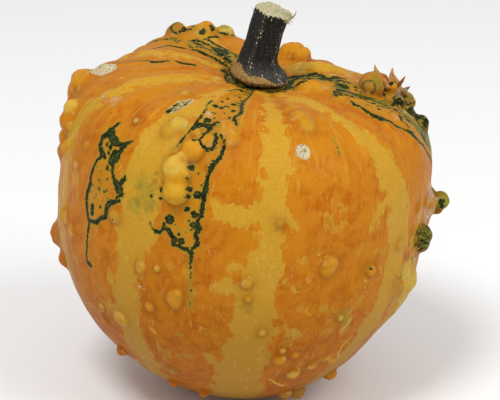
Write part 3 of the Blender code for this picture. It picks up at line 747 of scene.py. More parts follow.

# Soft stains over the ground colour, with painted shade among them: (palette name, strength, marks)
STAINS = (
    ("olive", 0.7, (
        (2.6, 2.4, ((114, 77), (111, 73), (109, 68), (104, 64.5))),
        (1.6, 1.3, ((104, 64.5), (99.5, 61), (95, 58.5))),
        (0.8, 1.2, ((96, 77), (70, 76.5), (55, 74), (50, 72.5))),
        # ring round the stalk's foot: partly olive stain, partly painted shadow under the stalk
        (0.6, 0.6, ((-110, 77.5), (-70, 78.5), (-20, 78), (20, 77))),
        (1.2, 1.4, ((-146, 62), (-150, 67), (-146, 73))),
    )),
    ("olive", 0.4, (
        (2.6, 3.0, ((-136, 58), (-139, 64), (-141, 70), (-138, 76))),
        (1.2, 1.2, ((-134, 50), (-134, 55))),
    )),
    ("leaf", 0.85, (
        (1.5, 1.7, ((95.5, 61), (90, 60.5), (80, 60), (71, 60.5))),
        (1.5, 1.6, ((71, 60.5), (72, 57.5), (76, 54.5))),
        (1.2, 1.4, ((92, 38), (94, 35), (94, 30))),
        (0.8, 0.8, ((88, 44.5), (84, 43))),
    )),
    ("grass", 0.9, (
        (1.7, 1.5, ((74, 55.5), (79, 52.5), (82, 50), (80.5, 47))),
        (0.9, 1.1, ((80, 50.5), (79, 49), (78, 47.5), (80, 46))),
        (1.4, 1.8, ((80, 41), (80, 39), (80.5, 37))),
        (1.8, 2.2, ((80.5, 37), (83.5, 34.5), (84, 32.5), (88, 27))),
    )),
    ("lime", 0.5, (
        (2.4, 3.0, ((88, 40), (88, 35), (92, 27))),
    )),
    ("lime", 0.36, (
        (3.0, 2.6, ((-33.5, 22), (-31.5, 16.5))),
        (1.4, 1.6, ((-37, 17), (-35, 14.5))),
        (1.6, 1.8, ((33, -10.5), (37, -14.5))),
    )),
    ("olive", 0.45, (
        (0.8, 0.9, ((-15.5, 3.5), (-15, -1), (-14.5, -6), (-14.5, -11))),
        (0.9, 0.9, ((-22.5, -40.5), (-22, -41))),
        (1.1, 1.1, ((2, -7.5), (2.5, -8.5))),
        (0.6, 0.6, ((-49, -22.5), (-49, -23))),
    )),
    ("pale yellow", 0.5, (
        (0.9, 0.7, ((-42, 52), (-41, 54), (-41, 57))),
        (0.8, 0.7, ((52, 67.5), (62, 65.5), (74, 65))),
        (1.4, 1.6, ((133, 66), (128, 60))),
        (0.7, 1.2, ((-83, 16), (-80, 4), (-81, -6))),
        (1.0, 0.7, ((-77, -6), (-74, -18), (-72, -34))),
        (0.5, 0.8, ((-72, 30), (-77, 14), (-76, 4))),
    )),
    ("amber", 0.6, (
        (1.8, 2.0, ((56, 70), (66, 69))),
        (0.8, 0.8, ((-84.5, 9), (-82, -2))),
    )),
    ("spring", 0.6, (
        (0.9, 1.1, ((60.5, -1.5), (59.5, -3))),
    )),
    # painted shade down the left side of the swelling on the right flank
    ("brown gold", 0.65, (
        (1.3, 1.8, ((56.5, -2.5), (56.5, -5.5), (57.5, -9))),
    )),
    ("pink", 0.42, (
        (0.7, 0.7, ((-67, 38), (-64, 39.5), (-61.5, 40.5))),
        (0.5, 0.5, ((-67.5, 72.5), (-66.5, 74))),
        (0.8, 0.6, ((-19.5, 31), (-19.5, 30))),
        (0.8, 0.8, ((-22, 47), (-22.5, 48.5))),
        (0.8, 0.9, ((70, 44), (70, 43))),
        (0.9, 1.5, ((73, 13.5), (78, 11))),
        (0.8, 1.2, ((74, 20.5), (77.5, 18), (80.5, 15))),
    )),
    ("rust", 0.6, (
        (0.9, 1.0, ((60, 3), (62.5, 1))),
        (0.6, 0.6, ((65.5, 3), (66, 3))),
        (0.4, 0.4, ((63, 10.5), (62, 9))),
        (1.2, 1.2, ((113, 45), (117, 44))),
    )),
    ("cream", 0.55, (
        (0.5, 0.6, ((65.5, -9.5), (66.5, -12), (67, -15))),
        (0.5, 0.7, ((68, -17), (68.5, -24), (67, -32))),
        (0.6, 0.5, ((-85, 20), (-84, 12))),
    )),
    ("cream", 0.35, (
        (1.9, 1.7, ((-99, 38.5), (-94, 40.5))),
    )),
    ("straw", 0.6, (
        (3.2, 3.6, ((62.5, -2), (65, -8), (67, -14))),
    )),
    ("deep orange", 0.6, (
        (0.9, 0.9, ((12, 0.5), (13.5, 1))),
        (1.0, 1.0, ((25, 20.5), (25, 20))),
        (0.8, 0.8, ((9, 19), (9, 19))),
        (1.6, 1.2, ((22.5, 6.5), (23, 2.5))),
        (1.4, 1.0, ((-22, -6.5), (-21.5, -3.5))),
    )),
    ("amber", 0.7, (
        (0.8, 0.9, ((21, -8.5), (22, -9.5))),
        (1.0, 1.3, ((36, -30), (44.5, -35))),
        (1.0, 1.0, ((-28.5, -22.5), (-26.5, -24.5))),
    )),
)

# Thin cream curls: partly skin that has lifted, partly painted highlight crescents on the bumps
CURLS = (
    (0.2, 0.3, ((21.9, -35.3), (23.1, -35.6), (25.7, -34.8))),
    (0.3, 0.15, ((25.7, -34.8), (27, -33.9), (25.2, -32.9))),
    (0.25, 0.4, ((16.5, -39), (20.7, -42.2), (25.5, -45))),
    (0.2, 0.3, ((42.7, -21.1), (40.4, -24.6), (40.7, -28.8))),
    (0.3, 0.15, ((40.7, -28.8), (43.5, -31.6))),
    (0.25, 0.35, ((35.6, -18.1), (37.5, -15.8), (38.6, -13.1))),
    (0.15, 0.15, ((-32.3, -0.5), (-31.8, -2.2), (-30.8, -3.3))),
    (0.25, 0.15, ((2, 2.3), (3.3, 0.8), (2.6, -0.4))),
    (0.2, 0.2, ((46.3, 2.9), (47.3, 0.4), (46.1, -1))),
    (0.2, 0.2, ((40, 0.4), (40.5, -1.2), (41.8, -0.6))),
    (0.2, 0.15, ((22.6, 6.6), (23.2, 8.2), (25, 9))),
    (0.3, 0.15, ((22, 9.3), (23, 10))),
    (0.15, 0.15, ((5.5, 16.1), (7.2, 16.7), (9.4, 18.1))),
)

# Dry, raised scars: (half width at the start, half width at the end, places)
SCARS = (
    (2.15, 2.15, ((16, 38.5), (16, 38))),
    (2.6, 3.1, ((-100, 38), (-96.5, 39.5), (-93, 41.5))),
    (1.1, 1.9, ((-37, 44.5), (-36, 46.5), (-35.5, 48.5))),
    (1.8, 1.1, ((-35.5, 48.5), (-34.5, 51))),
    (0.45, 0.3, ((-22.5, 48), (-21, 47.5))),
    (0.4, 0.4, ((-70, 38), (-69, 38.5))),
    (0.35, 0.25, ((-65, 40), (-64, 41))),
    (0.35, 0.25, ((-61.5, 38), (-60.5, 39))),
    (0.3, 0.25, ((-77, 45), (-76, 45.5))),
    (0.6, 0.9, ((75.5, 21), (79, 19.5), (83, 17.5))),
    (1.0, 1.9, ((83.5, 17), (84, 13.5))),
    (0.9, 1.3, ((80.5, 18), (81.5, 14.5))),
    (2.0, 1.5, ((84, 13.5), (81.5, 11), (78.5, 10))),
    (0.3, 0.3, ((75, 19.5), (78.5, 17.5), (79.5, 14.5))),
    (0.3, 0.2, ((77, 10.5), (79.5, 11.5), (81, 13))),
    (0.3, 0.25, ((70, 15), (71.5, 15), (73.5, 14.5))),
    (0.5, 0.7, ((-23, -41), (-22.5, -41.5))),
    (0.4, 0.4, ((-31, -8), (-31, -8.5))),
    (0.6, 0.6, ((-45, -46), (-43, -47))),
    (0.35, 0.25, ((66, -14), (67.5, -12))),
    (0.5, 0.4, ((66.5, 0), (68, -0.5))),
    (0.8, 0.7, ((82, 42.5), (84, 41))),
    (0.9, 0.7, ((97, 44), (100, 41))),
    (0.7, 0.6, ((102, 54.5), (108, 53.5))),
    (1.4, 1.1, ((-140, -5), (-136, -7))),
    (1.3, 1.3, ((132, -12), (133, -13))),
    (3.2, 3.2, ((0, -90), (90, -89))),
)


def linear(name):
    """Linear colour of a palette name."""
    text = PALETTE[name]
    parts = [int(text[start:start + 2], 16) / 255 for start in (0, 2, 4)]
    return [part / 12.92 if part <= 0.04045 else ((part + 0.055) / 1.055) ** 2.4 for part in parts]


def smooth_step(value, low, high):
    """0 below low, 1 above high and a smooth rise between them; low may be the larger one."""
    part = np.clip((value - low) / (high - low), 0, 1)
    return part * part * (3 - 2 * part)


# ------------------------------------------------------------------------------ shape of the fruit
# How far from a wart's ball the skin is still shaped by it, and how often it is evened out and settled
WART_REACH = 3.5
EVEN_ROUNDS = 14
SETTLE_STEPS = 3


def skin_directions(places):
    """Unit vectors of (turn, rise) places, in the fruit's own frame."""
    turn, rise = np.radians(np.asarray(places, float)).T
    level = np.cos(rise)
    return np.stack([level * np.sin(turn), -level * np.cos(turn), np.sin(rise)], axis=-1)


def body_surface(directions):
    """Points of the smooth body, without warts, along unit vectors."""
    sideways = np.hypot(directions[:, 0], directions[:, 1])
    up = directions[:, 2]
    power = np.where(up > 0, SHOULDER_POWER, BASE_POWER)
    height = np.where(up > 0, TOP_HEIGHT, BASE_DEPTH)
    radius = ((sideways / BODY_RADIUS) ** power + (np.abs(up) / height) ** power) ** (-1 / power)
    for turn, rise, spread, swell in SWELLINGS:
        toward = directions @ skin_directions([(turn, rise)])[0]
        radius += swell * np.exp((toward - 1) / (1 - math.cos(math.radians(spread))))
    turn = np.arctan2(directions[:, 0], -directions[:, 1])
    shoulder = np.clip(up, 0, 1) ** 2 * sideways * 2.6
    radius += RIB_HEIGHT * shoulder * np.cos(RIB_COUNT * turn)
    points = directions * radius[:, None]
    reach = np.hypot(points[:, 0], points[:, 1])
    top = up > 0
    points[top, 2] -= HOLLOW_DEPTH * np.exp(-(reach[top] / HOLLOW_RADIUS) ** 2)
    seat = top * np.clip((SEAT_RADIUS + SEAT_BLEND - reach) / SEAT_BLEND, 0, 1)
    seat = seat * seat * (3 - 2 * seat)
    points[:, 2] += seat * (SEAT_RISE - points[:, 2])
    return points


def body_normals(directions):
    """Outward normals of the smooth body, from two small steps along it."""
    step = 0.002
    sideways = np.cross(directions, [0.0, 0.0, 1.0])
    sideways += np.where(np.abs(directions[:, 2:]) > 0.9999, [[1.0, 0.0, 0.0]], 0.0)
    sideways /= np.linalg.norm(sideways, axis=1)[:, None]
    onward = np.cross(sideways, directions)
    steps = []
    for way in (sideways, onward):
        ahead = directions + way * step
        behind = directions - way * step
        ahead /= np.linalg.norm(ahead, axis=1)[:, None]
        behind /= np.linalg.norm(behind, axis=1)[:, None]
        steps.append(body_surface(ahead) - body_surface(behind))
    normals = np.cross(steps[0], steps[1])
    normals /= np.linalg.norm(normals, axis=1)[:, None]
    return normals * np.sign((normals * directions).sum(axis=1))[:, None]


def wart_balls():
    """Centre, radius, blend and colour of every wart's ball."""
    balls = []
    for turn, rise, radius, proud, blend, colour in WARTS:
        direction = skin_directions([(turn, rise)])
        centre = body_surface(direction)[0] + body_normals(direction)[0] * radius * proud
        balls.append((centre, radius, blend, colour))
    return balls


def distance_and_slope(points, foot, normals, balls, near):
    """Signed distance to the skin with its warts blended in, and the direction it grows in."""
    distance = ((points - foot) * normals).sum(axis=1)
    slope = normals.copy()
    for (centre, radius, blend, _), index in zip(balls, near):
        away = points[index] - centre
        length = np.linalg.norm(away, axis=1) + 1e-6
        body = distance[index]
        ball = length - radius
        blended = np.clip(1 - np.abs(body - ball) / blend, 0, 1) / 2
        share = np.where(body < ball, blended, 1 - blended)[:, None]
        slope[index] += share * (away / length[:, None] - slope[index])
        distance[index] = np.minimum(body, ball) - blend * blended ** 2
    return distance, slope


def grow_warts(directions, edges, balls):
    """Skin points with the warts: pushed out, evened out along the skin and settled on it."""
    foot = body_surface(directions)
    normals = body_normals(directions)
    near = []
    for centre, radius, blend, _ in balls:
        away = np.linalg.norm(foot - centre, axis=1)
        near.append(np.flatnonzero(away < radius + blend + WART_REACH))
    push = np.zeros(len(foot))
    moving = np.zeros(len(foot))
    for (centre, radius, _, _), index in zip(balls, near):
        to_centre = centre - foot[index]
        along = (to_centre * normals[index]).sum(axis=1)
        inside = radius ** 2 - (to_centre ** 2).sum(axis=1) + along ** 2
        out = np.where(inside > 0, along + np.sqrt(np.clip(inside, 0, None)), 0)
        push[index] = np.maximum(push[index], out)
        moving[index] = 1
    points = foot + normals * push[:, None]
    ends = np.concatenate([edges, edges[:, ::-1]])
    count = np.bincount(ends[:, 0], minlength=len(points))[:, None]
    for _ in range(EVEN_ROUNDS):
        mean = np.stack(
            [np.bincount(ends[:, 0], points[ends[:, 1], axis], len(points)) for axis in range(3)], axis=1
        ) / count
        points += 0.5 * moving[:, None] * (mean - points)
        for _ in range(SETTLE_STEPS):
            distance, slope = distance_and_slope(points, foot, normals, balls, near)
            points -= slope * (distance / (slope ** 2).sum(axis=1))[:, None]
    return points


def placement():
    """From the fruit's own frame in millimetres to the world in metres."""
    lean = Matrix.Rotation(math.radians(LEAN_DEG), 4, "Y")
    down = np.array(lean.inverted().to_3x3() @ Vector((0, 0, -1)))
    bottom = body_surface(down[None, :])[0]
    lift = -(lean @ Vector(bottom)).z - FLAT_SPOT_DEPTH
    return Matrix.Scale(MM, 4) @ Matrix.Translation((CENTRE_X, CENTRE_Y, lift)) @ lean


# ------------------------------------------------------------------------------ painting the skin
# How far from a mark and from a stripe the skin is still measured, in millimetres
MARK_REACH = 4.0
STRIPE_REACH = 9.0

# Paths are cut into steps of this many degrees, where a degree of turn counts for less than one of rise
PATH_STEP = 1.5
TURN_SHARE = 0.7

# Keeps a division by a length or a strength of nothing harmless
TINY = 1e-9


def fine_path(places):
    """Body points closely spaced along a path of places."""
    steps = []
    for (turn, rise), (next_turn, next_rise) in zip(places, places[1:]):
        length = max(abs(next_turn - turn) * TURN_SHARE, abs(next_rise - rise))
        count = max(1, math.ceil(length / PATH_STEP))
        for part in range(count):
            mix = part / count
            steps.append((turn + (next_turn - turn) * mix, rise + (next_rise - rise) * mix))
    steps.append(places[-1])
    return body_surface(skin_directions(steps))


def coverage(foot, marks, far=MARK_REACH):
    """How far each skin point is inside the nearest mark, in millimetres; negative outside it."""
    inside = np.full(len(foot), -far)
    for first, last, places in marks:
        path = fine_path(places)
        if len(path) == 1:
            path = np.concatenate([path, path + 1e-4])
        reach = far + max(first, last)
        box = (foot > path.min(axis=0) - reach) & (foot < path.max(axis=0) + reach)
        near = np.flatnonzero(box.all(axis=1))
        close = foot[near]
        best = inside[near]
        widths = np.linspace(first, last, len(path))
        for start, end, wide, narrow in zip(path, path[1:], widths, widths[1:]):
            along = end - start
            offset = close - start
            part = np.clip(offset @ along / (along @ along), 0, 1)
            away = np.linalg.norm(offset - part[:, None] * along, axis=1)
            best = np.maximum(best, wide + (narrow - wide) * part - away)
        inside[near] = best
    return inside


def dot_marks(dots):
    """Round dots as marks of one place."""
    return [(radius, radius, ((turn, rise),)) for turn, rise, radius in dots]


def on_lump(turn, rise, height):
    """A point above the smooth body at a place, straight out from the middle of the fruit."""
    direction = skin_directions([(turn, rise)])
    slope = np.sum(direction * body_normals(direction))
    return body_surface(direction)[0] + direction[0] * height / slope


def lump_coverage(points, marks):
    """How far each point is inside the nearest spot or line on a lump, measured in space."""
    inside = np.full(len(points), -MARK_REACH)
    for half_width, places in marks:
        ends = [on_lump(*place) for place in places]
        for start, end in zip(ends, ends[1:] or ends):
            along = end - start
            part = np.clip((points - start) @ along / max(along @ along, TINY), 0, 1)
            away = np.linalg.norm(points - start - part[:, None] * along, axis=1)
            inside = np.maximum(inside, half_width - away)
    return inside


def strand_marks(rng, bands):
    """Fine broken strands that run along bands."""
    marks = []
    for spread, count, path in bands:
        turns, rises = np.array(path, float).T
        knots = np.arange(len(path))
        for _ in range(count):
            side = rng.uniform(-1, 1) * math.degrees(spread / BODY_RADIUS)
            first = rng.uniform(0, len(path) - 1.2)
            last = min(first + rng.uniform(0.15, 0.5), len(path) - 1)
            parts = np.linspace(first, last, 4)
            rise = np.interp(parts, knots, rises)
            turn = np.interp(parts, knots, turns)
            across = np.cos(np.radians(rise))
            slope_turn = np.gradient(turn) * across
            slope_rise = np.gradient(rise)
            length = np.hypot(slope_turn, slope_rise)
            turn = turn - side * slope_rise / length / across
            rise = rise + side * slope_turn / length
            marks.append((rng.uniform(0.15, 0.5), rng.uniform(0.1, 0.3), list(zip(turn, rise))))
    return marks


def net_marks(rng, nets):
    """Short crossing strokes spread over a round area."""
    marks = []
    for turn, rise, radius in nets:
        for _ in range(int(radius * radius * 3)):
            angle = rng.uniform(0, 2 * math.pi)
            away = math.degrees(radius / BODY_RADIUS) * math.sqrt(rng.random())
            start = (turn + away * math.cos(angle), rise + away * math.sin(angle))
            end = (start[0] + rng.uniform(-1.2, 1.2), start[1] + rng.uniform(-1.2, 1.2))
            marks.append((rng.uniform(0.15, 0.35), 0.1, (start, end)))
    return marks


def moved(places, centre, patch):
    """Places of a front patch carried to another turn, stretched or mirrored."""
    _, turn, width, tall, top = patch
    return [(turn + (place[0] - centre[0]) * width, top + (place[1] - centre[1]) * tall) for place in places]


def moved_patch(patch):
    """Green marks and ground of a back patch."""
    centre, lines, dots, ground = FRONT_PATCHES[patch[0]]
    both = []
    for marks in (list(lines) + dot_marks(dots), ground):
        both.append([(first, last, moved(places, centre, patch)) for first, last, places in marks])
    return both


def all_marks():
    """Every green mark, the ochre ground and the loose yellow blotches, front and back."""
    rng = random.Random(7)
    green = list(LEFT_LINES + CENTRE_LINES + TOP_LINES)
    green += dot_marks(LEFT_DOTS + CENTRE_DOTS + TOP_DOTS)
    green += net_marks(rng, GREEN_NETS) + strand_marks(rng, GREEN_BANDS)
    ground = list(LEFT_GROUND + CENTRE_GROUND + TOP_GROUND)
    for patch in BACK_PATCHES:
        more_green, more_ground = moved_patch(patch)
        green += more_green
        ground += more_ground
    blotches = dot_marks(YELLOW_PATCHES)
    for _ in range(BACK_BLOTCHES):
        turn = rng.uniform(*BACK_TURNS)
        rise = rng.uniform(*BACK_RISES)
        first = rng.uniform(0.5, 1.5)
        last = rng.uniform(0.3, 1.0)
        blotches.append((first, last, ((turn, rise), (turn + 1.5, rise - 2.5))))
    return green, ground, blotches


class Paint:
    """A colour layer over the rind: one colour and one strength for each skin point."""

    def __init__(self, count):
        self.colour = np.zeros((count, 3))
        self.strength = np.zeros(count)

    def add(self, name, strength):
        """Lay a palette colour over what is there."""
        total = strength + self.strength * (1 - strength)
        share = np.where(total > 0, strength / np.maximum(total, TINY), 0)[:, None]
        self.colour += share * (np.array(linear(name)) - self.colour)
        self.strength = total


def skin_noise(points, scale, seed=0.0):
    """Smooth noise at each point; seed moves it elsewhere."""
    move = Vector((seed, seed * 1.7, -seed))
    return np.array([noise.noise(Vector(point) * scale + move) for point in points])


# How values are stored on points, by how many numbers each point has
VALUE_KINDS = {1: ("FLOAT", "value"), 3: ("FLOAT_VECTOR", "vector"), 4: ("FLOAT_COLOR", "color")}

# Cells along each side of the cube that the skin is rounded from, and how far beyond warts and beyond
# marks its cells are halved, the first and the second time
GRID_CELLS = 60
FINE_MARGINS = ((1.6, 1.4), (0.8, 0.35))


def skin_grid(balls, fine_marks):
    """A cube with a grid on every face, finer near warts and marks, for rounding into the fruit."""
    cells = GRID_CELLS
    grid = bmesh.new()
    bmesh.ops.create_cube(grid, size=2.0)
    bmesh.ops.subdivide_edges(grid, edges=grid.edges[:], cuts=cells - 1, use_grid_fill=True)
    for vertex in grid.verts:
        vertex.co = [math.tan(value * math.pi / 4) for value in vertex.co]
    for wart_margin, mark_margin in FINE_MARGINS:
        foot = body_surface(np.array([face.calc_center_median().normalized() for face in grid.faces]))
        fine = coverage(foot, fine_marks) > -mark_margin
        for centre, radius, _, _ in balls:
            fine |= np.linalg.norm(foot - centre, axis=1) < radius + wart_margin
        edges = {edge for face, chosen in zip(grid.faces, fine) if chosen for edge in face.edges}
        bmesh.ops.subdivide_edges(grid, edges=list(edges), cuts=1, use_grid_fill=True)
    return grid


def add_values(mesh, name, values):
    """Store a number, a vector or a colour for each point: one, three or four columns."""
    values = np.ascontiguousarray(values, dtype=np.float32).ravel()
    kind, field = VALUE_KINDS[len(values) // len(mesh.vertices)]
    mesh.attributes.new(name, kind, "POINT").data.foreach_set(field, values)


def new_piece(name, shape, material, **values):
    """A smooth object from a shape, with values stored on its points for the material to read."""
    mesh = bpy.data.meshes.new(name)
    shape.to_mesh(mesh)
    shape.free()
    mesh.shade_smooth()
    for value_name, numbers in values.items():
        add_values(mesh, value_name, numbers)
    mesh.materials.append(material)
    piece = bpy.data.objects.new(name, mesh)
    bpy.context.scene.collection.objects.link(piece)
    return piece


def paint_skin(points, foot, height, curl, balls):
    """Stains, some of them partly painted shade, then specks, warts, tints, rings, and curls that are partly
    painted highlight, laid over each other in that order.
    """
    paint = Paint(len(points))
    mottle = skin_noise(foot, 0.5)
    speckle = skin_noise(foot, 1.6, 2.0)
    for name, strength, marks in STAINS:
        inside = coverage(foot, marks) + mottle * 1.2 + speckle * 1.4
        paint.add(name, strength * smooth_step(inside, -0.5, 0.5))
    specks = coverage(foot, net_marks(random.Random(3), FAINT_NETS))
    paint.add("moss", 0.42 * smooth_step(specks + speckle * 0.5, -0.1, 0.3))
    for centre, radius, _, colour in balls:
        inside = radius - np.linalg.norm(points - centre, axis=1) + mottle * 0.5
        paint.add(colour, 0.85 * smooth_step(inside, -0.7, 0.1) * smooth_step(height, 0.1, 0.7))
    for name, strength, half_width, places in LUMP_TINTS:
        inside = lump_coverage(points, ((half_width, places),))
        paint.add(name, strength * smooth_step(inside + speckle * 0.6, -0.35, 0.35))
    for name, strength, middle, radius, half_width in LUMP_RINGS:
        away = np.linalg.norm(points - on_lump(*middle), axis=1)
        inside = half_width - np.abs(away - radius)
        paint.add(name, strength * smooth_step(inside + speckle * 0.5, -0.3, 0.2))
    # curls in pale yellow: partly lifted skin, partly painted highlight
    paint.add("pale yellow", 0.7 * smooth_step(curl + speckle * 0.4, -0.25, 0.2))
    return np.column_stack([paint.colour, paint.strength])


def fold_at_foot(points, height, balls):
    """Painted shade: 1 in the crease round each wart's foot, fading to 0 within a few millimetres."""
    nearest = np.full(len(points), STRIPE_REACH)
    for centre, radius, _, _ in balls:
        nearest = np.minimum(nearest, np.abs(np.linalg.norm(points - centre, axis=1) - radius))
    return np.exp(-(nearest + 0.7 * np.abs(height)) / 0.8)


def unevenness(points, foot, height, streak, scar, curl):
    """Relief of the skin: broad and fine dents, ridges gathered at the stalk, scars and curls."""
    relief = 0.32 * skin_noise(foot, 0.11) + 0.14 * skin_noise(foot, 0.3, 3.0)
    relief += smooth_step(height, 0.2, 1.2) * 0.28 * skin_noise(points, 0.55, 5.0)
    reach = np.hypot(points[:, 0], points[:, 1])
    gathered = smooth_step(points[:, 2], 26, 40) * smooth_step(reach, 9, 14)
    relief += gathered * 0.85 * skin_noise(streak, 0.16, 4.0)
    rim = np.exp(-((scar - 0.25) / 0.3) ** 2) + np.exp(-((curl - 0.2) / 0.3) ** 2)
    rough = smooth_step(scar, -0.1, 0.3)
    return relief + 0.2 * rim + rough * (0.3 * skin_noise(points, 1.7, 9.0) - 0.05)


def build_rind():
    """The whole skin of the fruit, with its markings stored as values on its points."""
    balls = wart_balls()
    green_marks, ground, blotches = all_marks()
    lump_marks = [(radius, (place,)) for *place, radius in LUMP_SPOTS] + list(LUMP_LINES)
    grid = skin_grid(balls, green_marks + list(SCARS + CURLS))
    grid.verts.ensure_lookup_table()
    directions = np.array([vertex.co.normalized() for vertex in grid.verts])
    edges = np.array([[end.index for end in edge.verts] for edge in grid.edges])
    points = grow_warts(directions, edges, balls)
    outward = points / np.linalg.norm(points, axis=1)[:, None]
    foot = body_surface(outward)
    normals = body_normals(outward)
    height = ((points - foot) * normals).sum(axis=1)
    turn = np.arctan2(points[:, 0], -points[:, 1])
    streak = np.column_stack([60 * np.cos(turn), 60 * np.sin(turn), 0.25 * points[:, 2]])
    scar = coverage(foot, SCARS)
    curl = coverage(foot, CURLS)
    green = np.maximum(coverage(foot, green_marks), lump_coverage(points, lump_marks))
    tint = paint_skin(points, foot, height, curl, balls)
    fold = fold_at_foot(points, height, balls)
    points += normals * unevenness(points, foot, height, streak, scar, curl)[:, None]
    place = placement()
    for vertex, point in zip(grid.verts, points):
        vertex.co = place @ Vector(point)
        vertex.co.z = max(vertex.co.z, 0.0)
    rind = new_piece(
        "rind", grid, rind_material(), place=points, streak=streak, green=green, scar=scar,
        yellow=coverage(foot, YELLOW_STRIPES, far=STRIPE_REACH), blotch=coverage(foot, blotches),
        patch=coverage(foot, ground), fold=fold, height=height, tint=tint,
    )
    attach(rind, "root")
    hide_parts("fruit")


# -------------------------------------------------------------------------------------- materials
class Graph:
    """A small helper for writing a node material as plain expressions."""

    def __init__(self, name):
        self.material = bpy.data.materials.new(name)
        self.material.use_nodes = True
        self.nodes = self.material.node_tree.nodes
        self.links = self.material.node_tree.links
        self.shader = self.nodes["Principled BSDF"]

    def put(self, socket, value):
        if isinstance(value, bpy.types.NodeSocket):
            self.links.new(value, socket)
        elif isinstance(value, (list, tuple)) and len(value) == 3 and socket.type == "RGBA":
            socket.default_value = (*value, 1)
        else:
            socket.default_value = value

    def node(self, kind, settings=None, **inputs):
        made = self.nodes.new(kind)
        for key, value in (settings or {}).items():
            setattr(made, key, value)
        for key, value in inputs.items():
            self.put(made.inputs[key], value)
        return made

    def values(self, name, output="Fac"):
        return self.node("ShaderNodeAttribute", {"attribute_name": name}).outputs[output]

    def math(self, operation, first, second=0.0):
        made = self.node("ShaderNodeMath", {"operation": operation})
        self.put(made.inputs[0], first)
        self.put(made.inputs[1], second)
        return made.outputs[0]

    def times(self, first, second):
        return self.math("MULTIPLY", first, second)

    def plus(self, first, second):
        return self.math("ADD", first, second)

    def greater(self, first, second):
        return self.math("MAXIMUM", first, second)

    def rest_of(self, value):
        """What is missing from 1."""
        return self.math("SUBTRACT", 1, value)

    def step(self, value, low, high, to_low=0.0, to_high=1.0):
        made = self.node("ShaderNodeMapRange", {"interpolation_type": "SMOOTHSTEP"})
        for index, item in enumerate((value, low, high, to_low, to_high)):
            self.put(made.inputs[index], item)
        return made.outputs[0]

    def mix(self, amount, first, second, blend="MIX"):
        made = self.node("ShaderNodeMix", {"data_type": "RGBA", "blend_type": blend})
        self.put(made.inputs[0], amount)
        self.put(made.inputs[6], first)
        self.put(made.inputs[7], second)
        return made.outputs[2]

    def stretch(self, vector, scale):
        made = self.node("ShaderNodeMapping")
        self.put(made.inputs["Vector"], vector)
        made.inputs["Scale"].default_value = scale
        return made.outputs[0]

    def noise(self, vector, scale, detail=3.0, roughness=0.55):
        made = self.node("ShaderNodeTexNoise")
        self.put(made.inputs["Vector"], vector)
        made.inputs["Scale"].default_value = scale
        made.inputs["Detail"].default_value = detail
        made.inputs["Roughness"].default_value = roughness
        return made.outputs[0]

    def cells(self, vector, scale, metric="EUCLIDEAN", feature="F1", random=1.0, output="Color"):
        made = self.node("ShaderNodeTexVoronoi", {"distance": metric, "feature": feature})
        self.put(made.inputs["Vector"], vector)
        made.inputs["Scale"].default_value = scale
        made.inputs["Randomness"].default_value = random
        return made.outputs[output]

    def off_centre(self, value, amount):
        """A texture value of 0 to 1 as a swing of plus or minus half the amount."""
        return self.times(self.math("SUBTRACT", value, 0.5), amount)

    def bump(self, height, strength, distance, below=None):
        made = self.node("ShaderNodeBump")
        made.inputs["Strength"].default_value = strength
        made.inputs["Distance"].default_value = distance
        self.put(made.inputs["Height"], height)
        if below is not None:
            self.put(made.inputs["Normal"], below)
        return made.outputs[0]

    def red_of(self, colour):
        return self.node("ShaderNodeSeparateColor", Color=colour).outputs[0]

    def surface(self, colour, roughness, shine, normal=None):
        """Set what the surface looks like, and hand the finished material over."""
        self.put(self.shader.inputs["Base Color"], colour)
        self.put(self.shader.inputs["Roughness"], roughness)
        self.put(self.shader.inputs["Specular IOR Level"], shine)
        if normal is not None:
            self.put(self.shader.inputs["Normal"], normal)
        return self.material


# Roughness and shine of the surfaces
WAXY_ROUGHNESS = 0.34, 0.48
CRUST_ROUGHNESS = 0.85
RIND_SHINE = 0.05
STALK_ROUGHNESS = 0.62
STALK_SHINE = 0.2
DRY_ROUGHNESS = 0.75
DRY_SHINE = 0.15


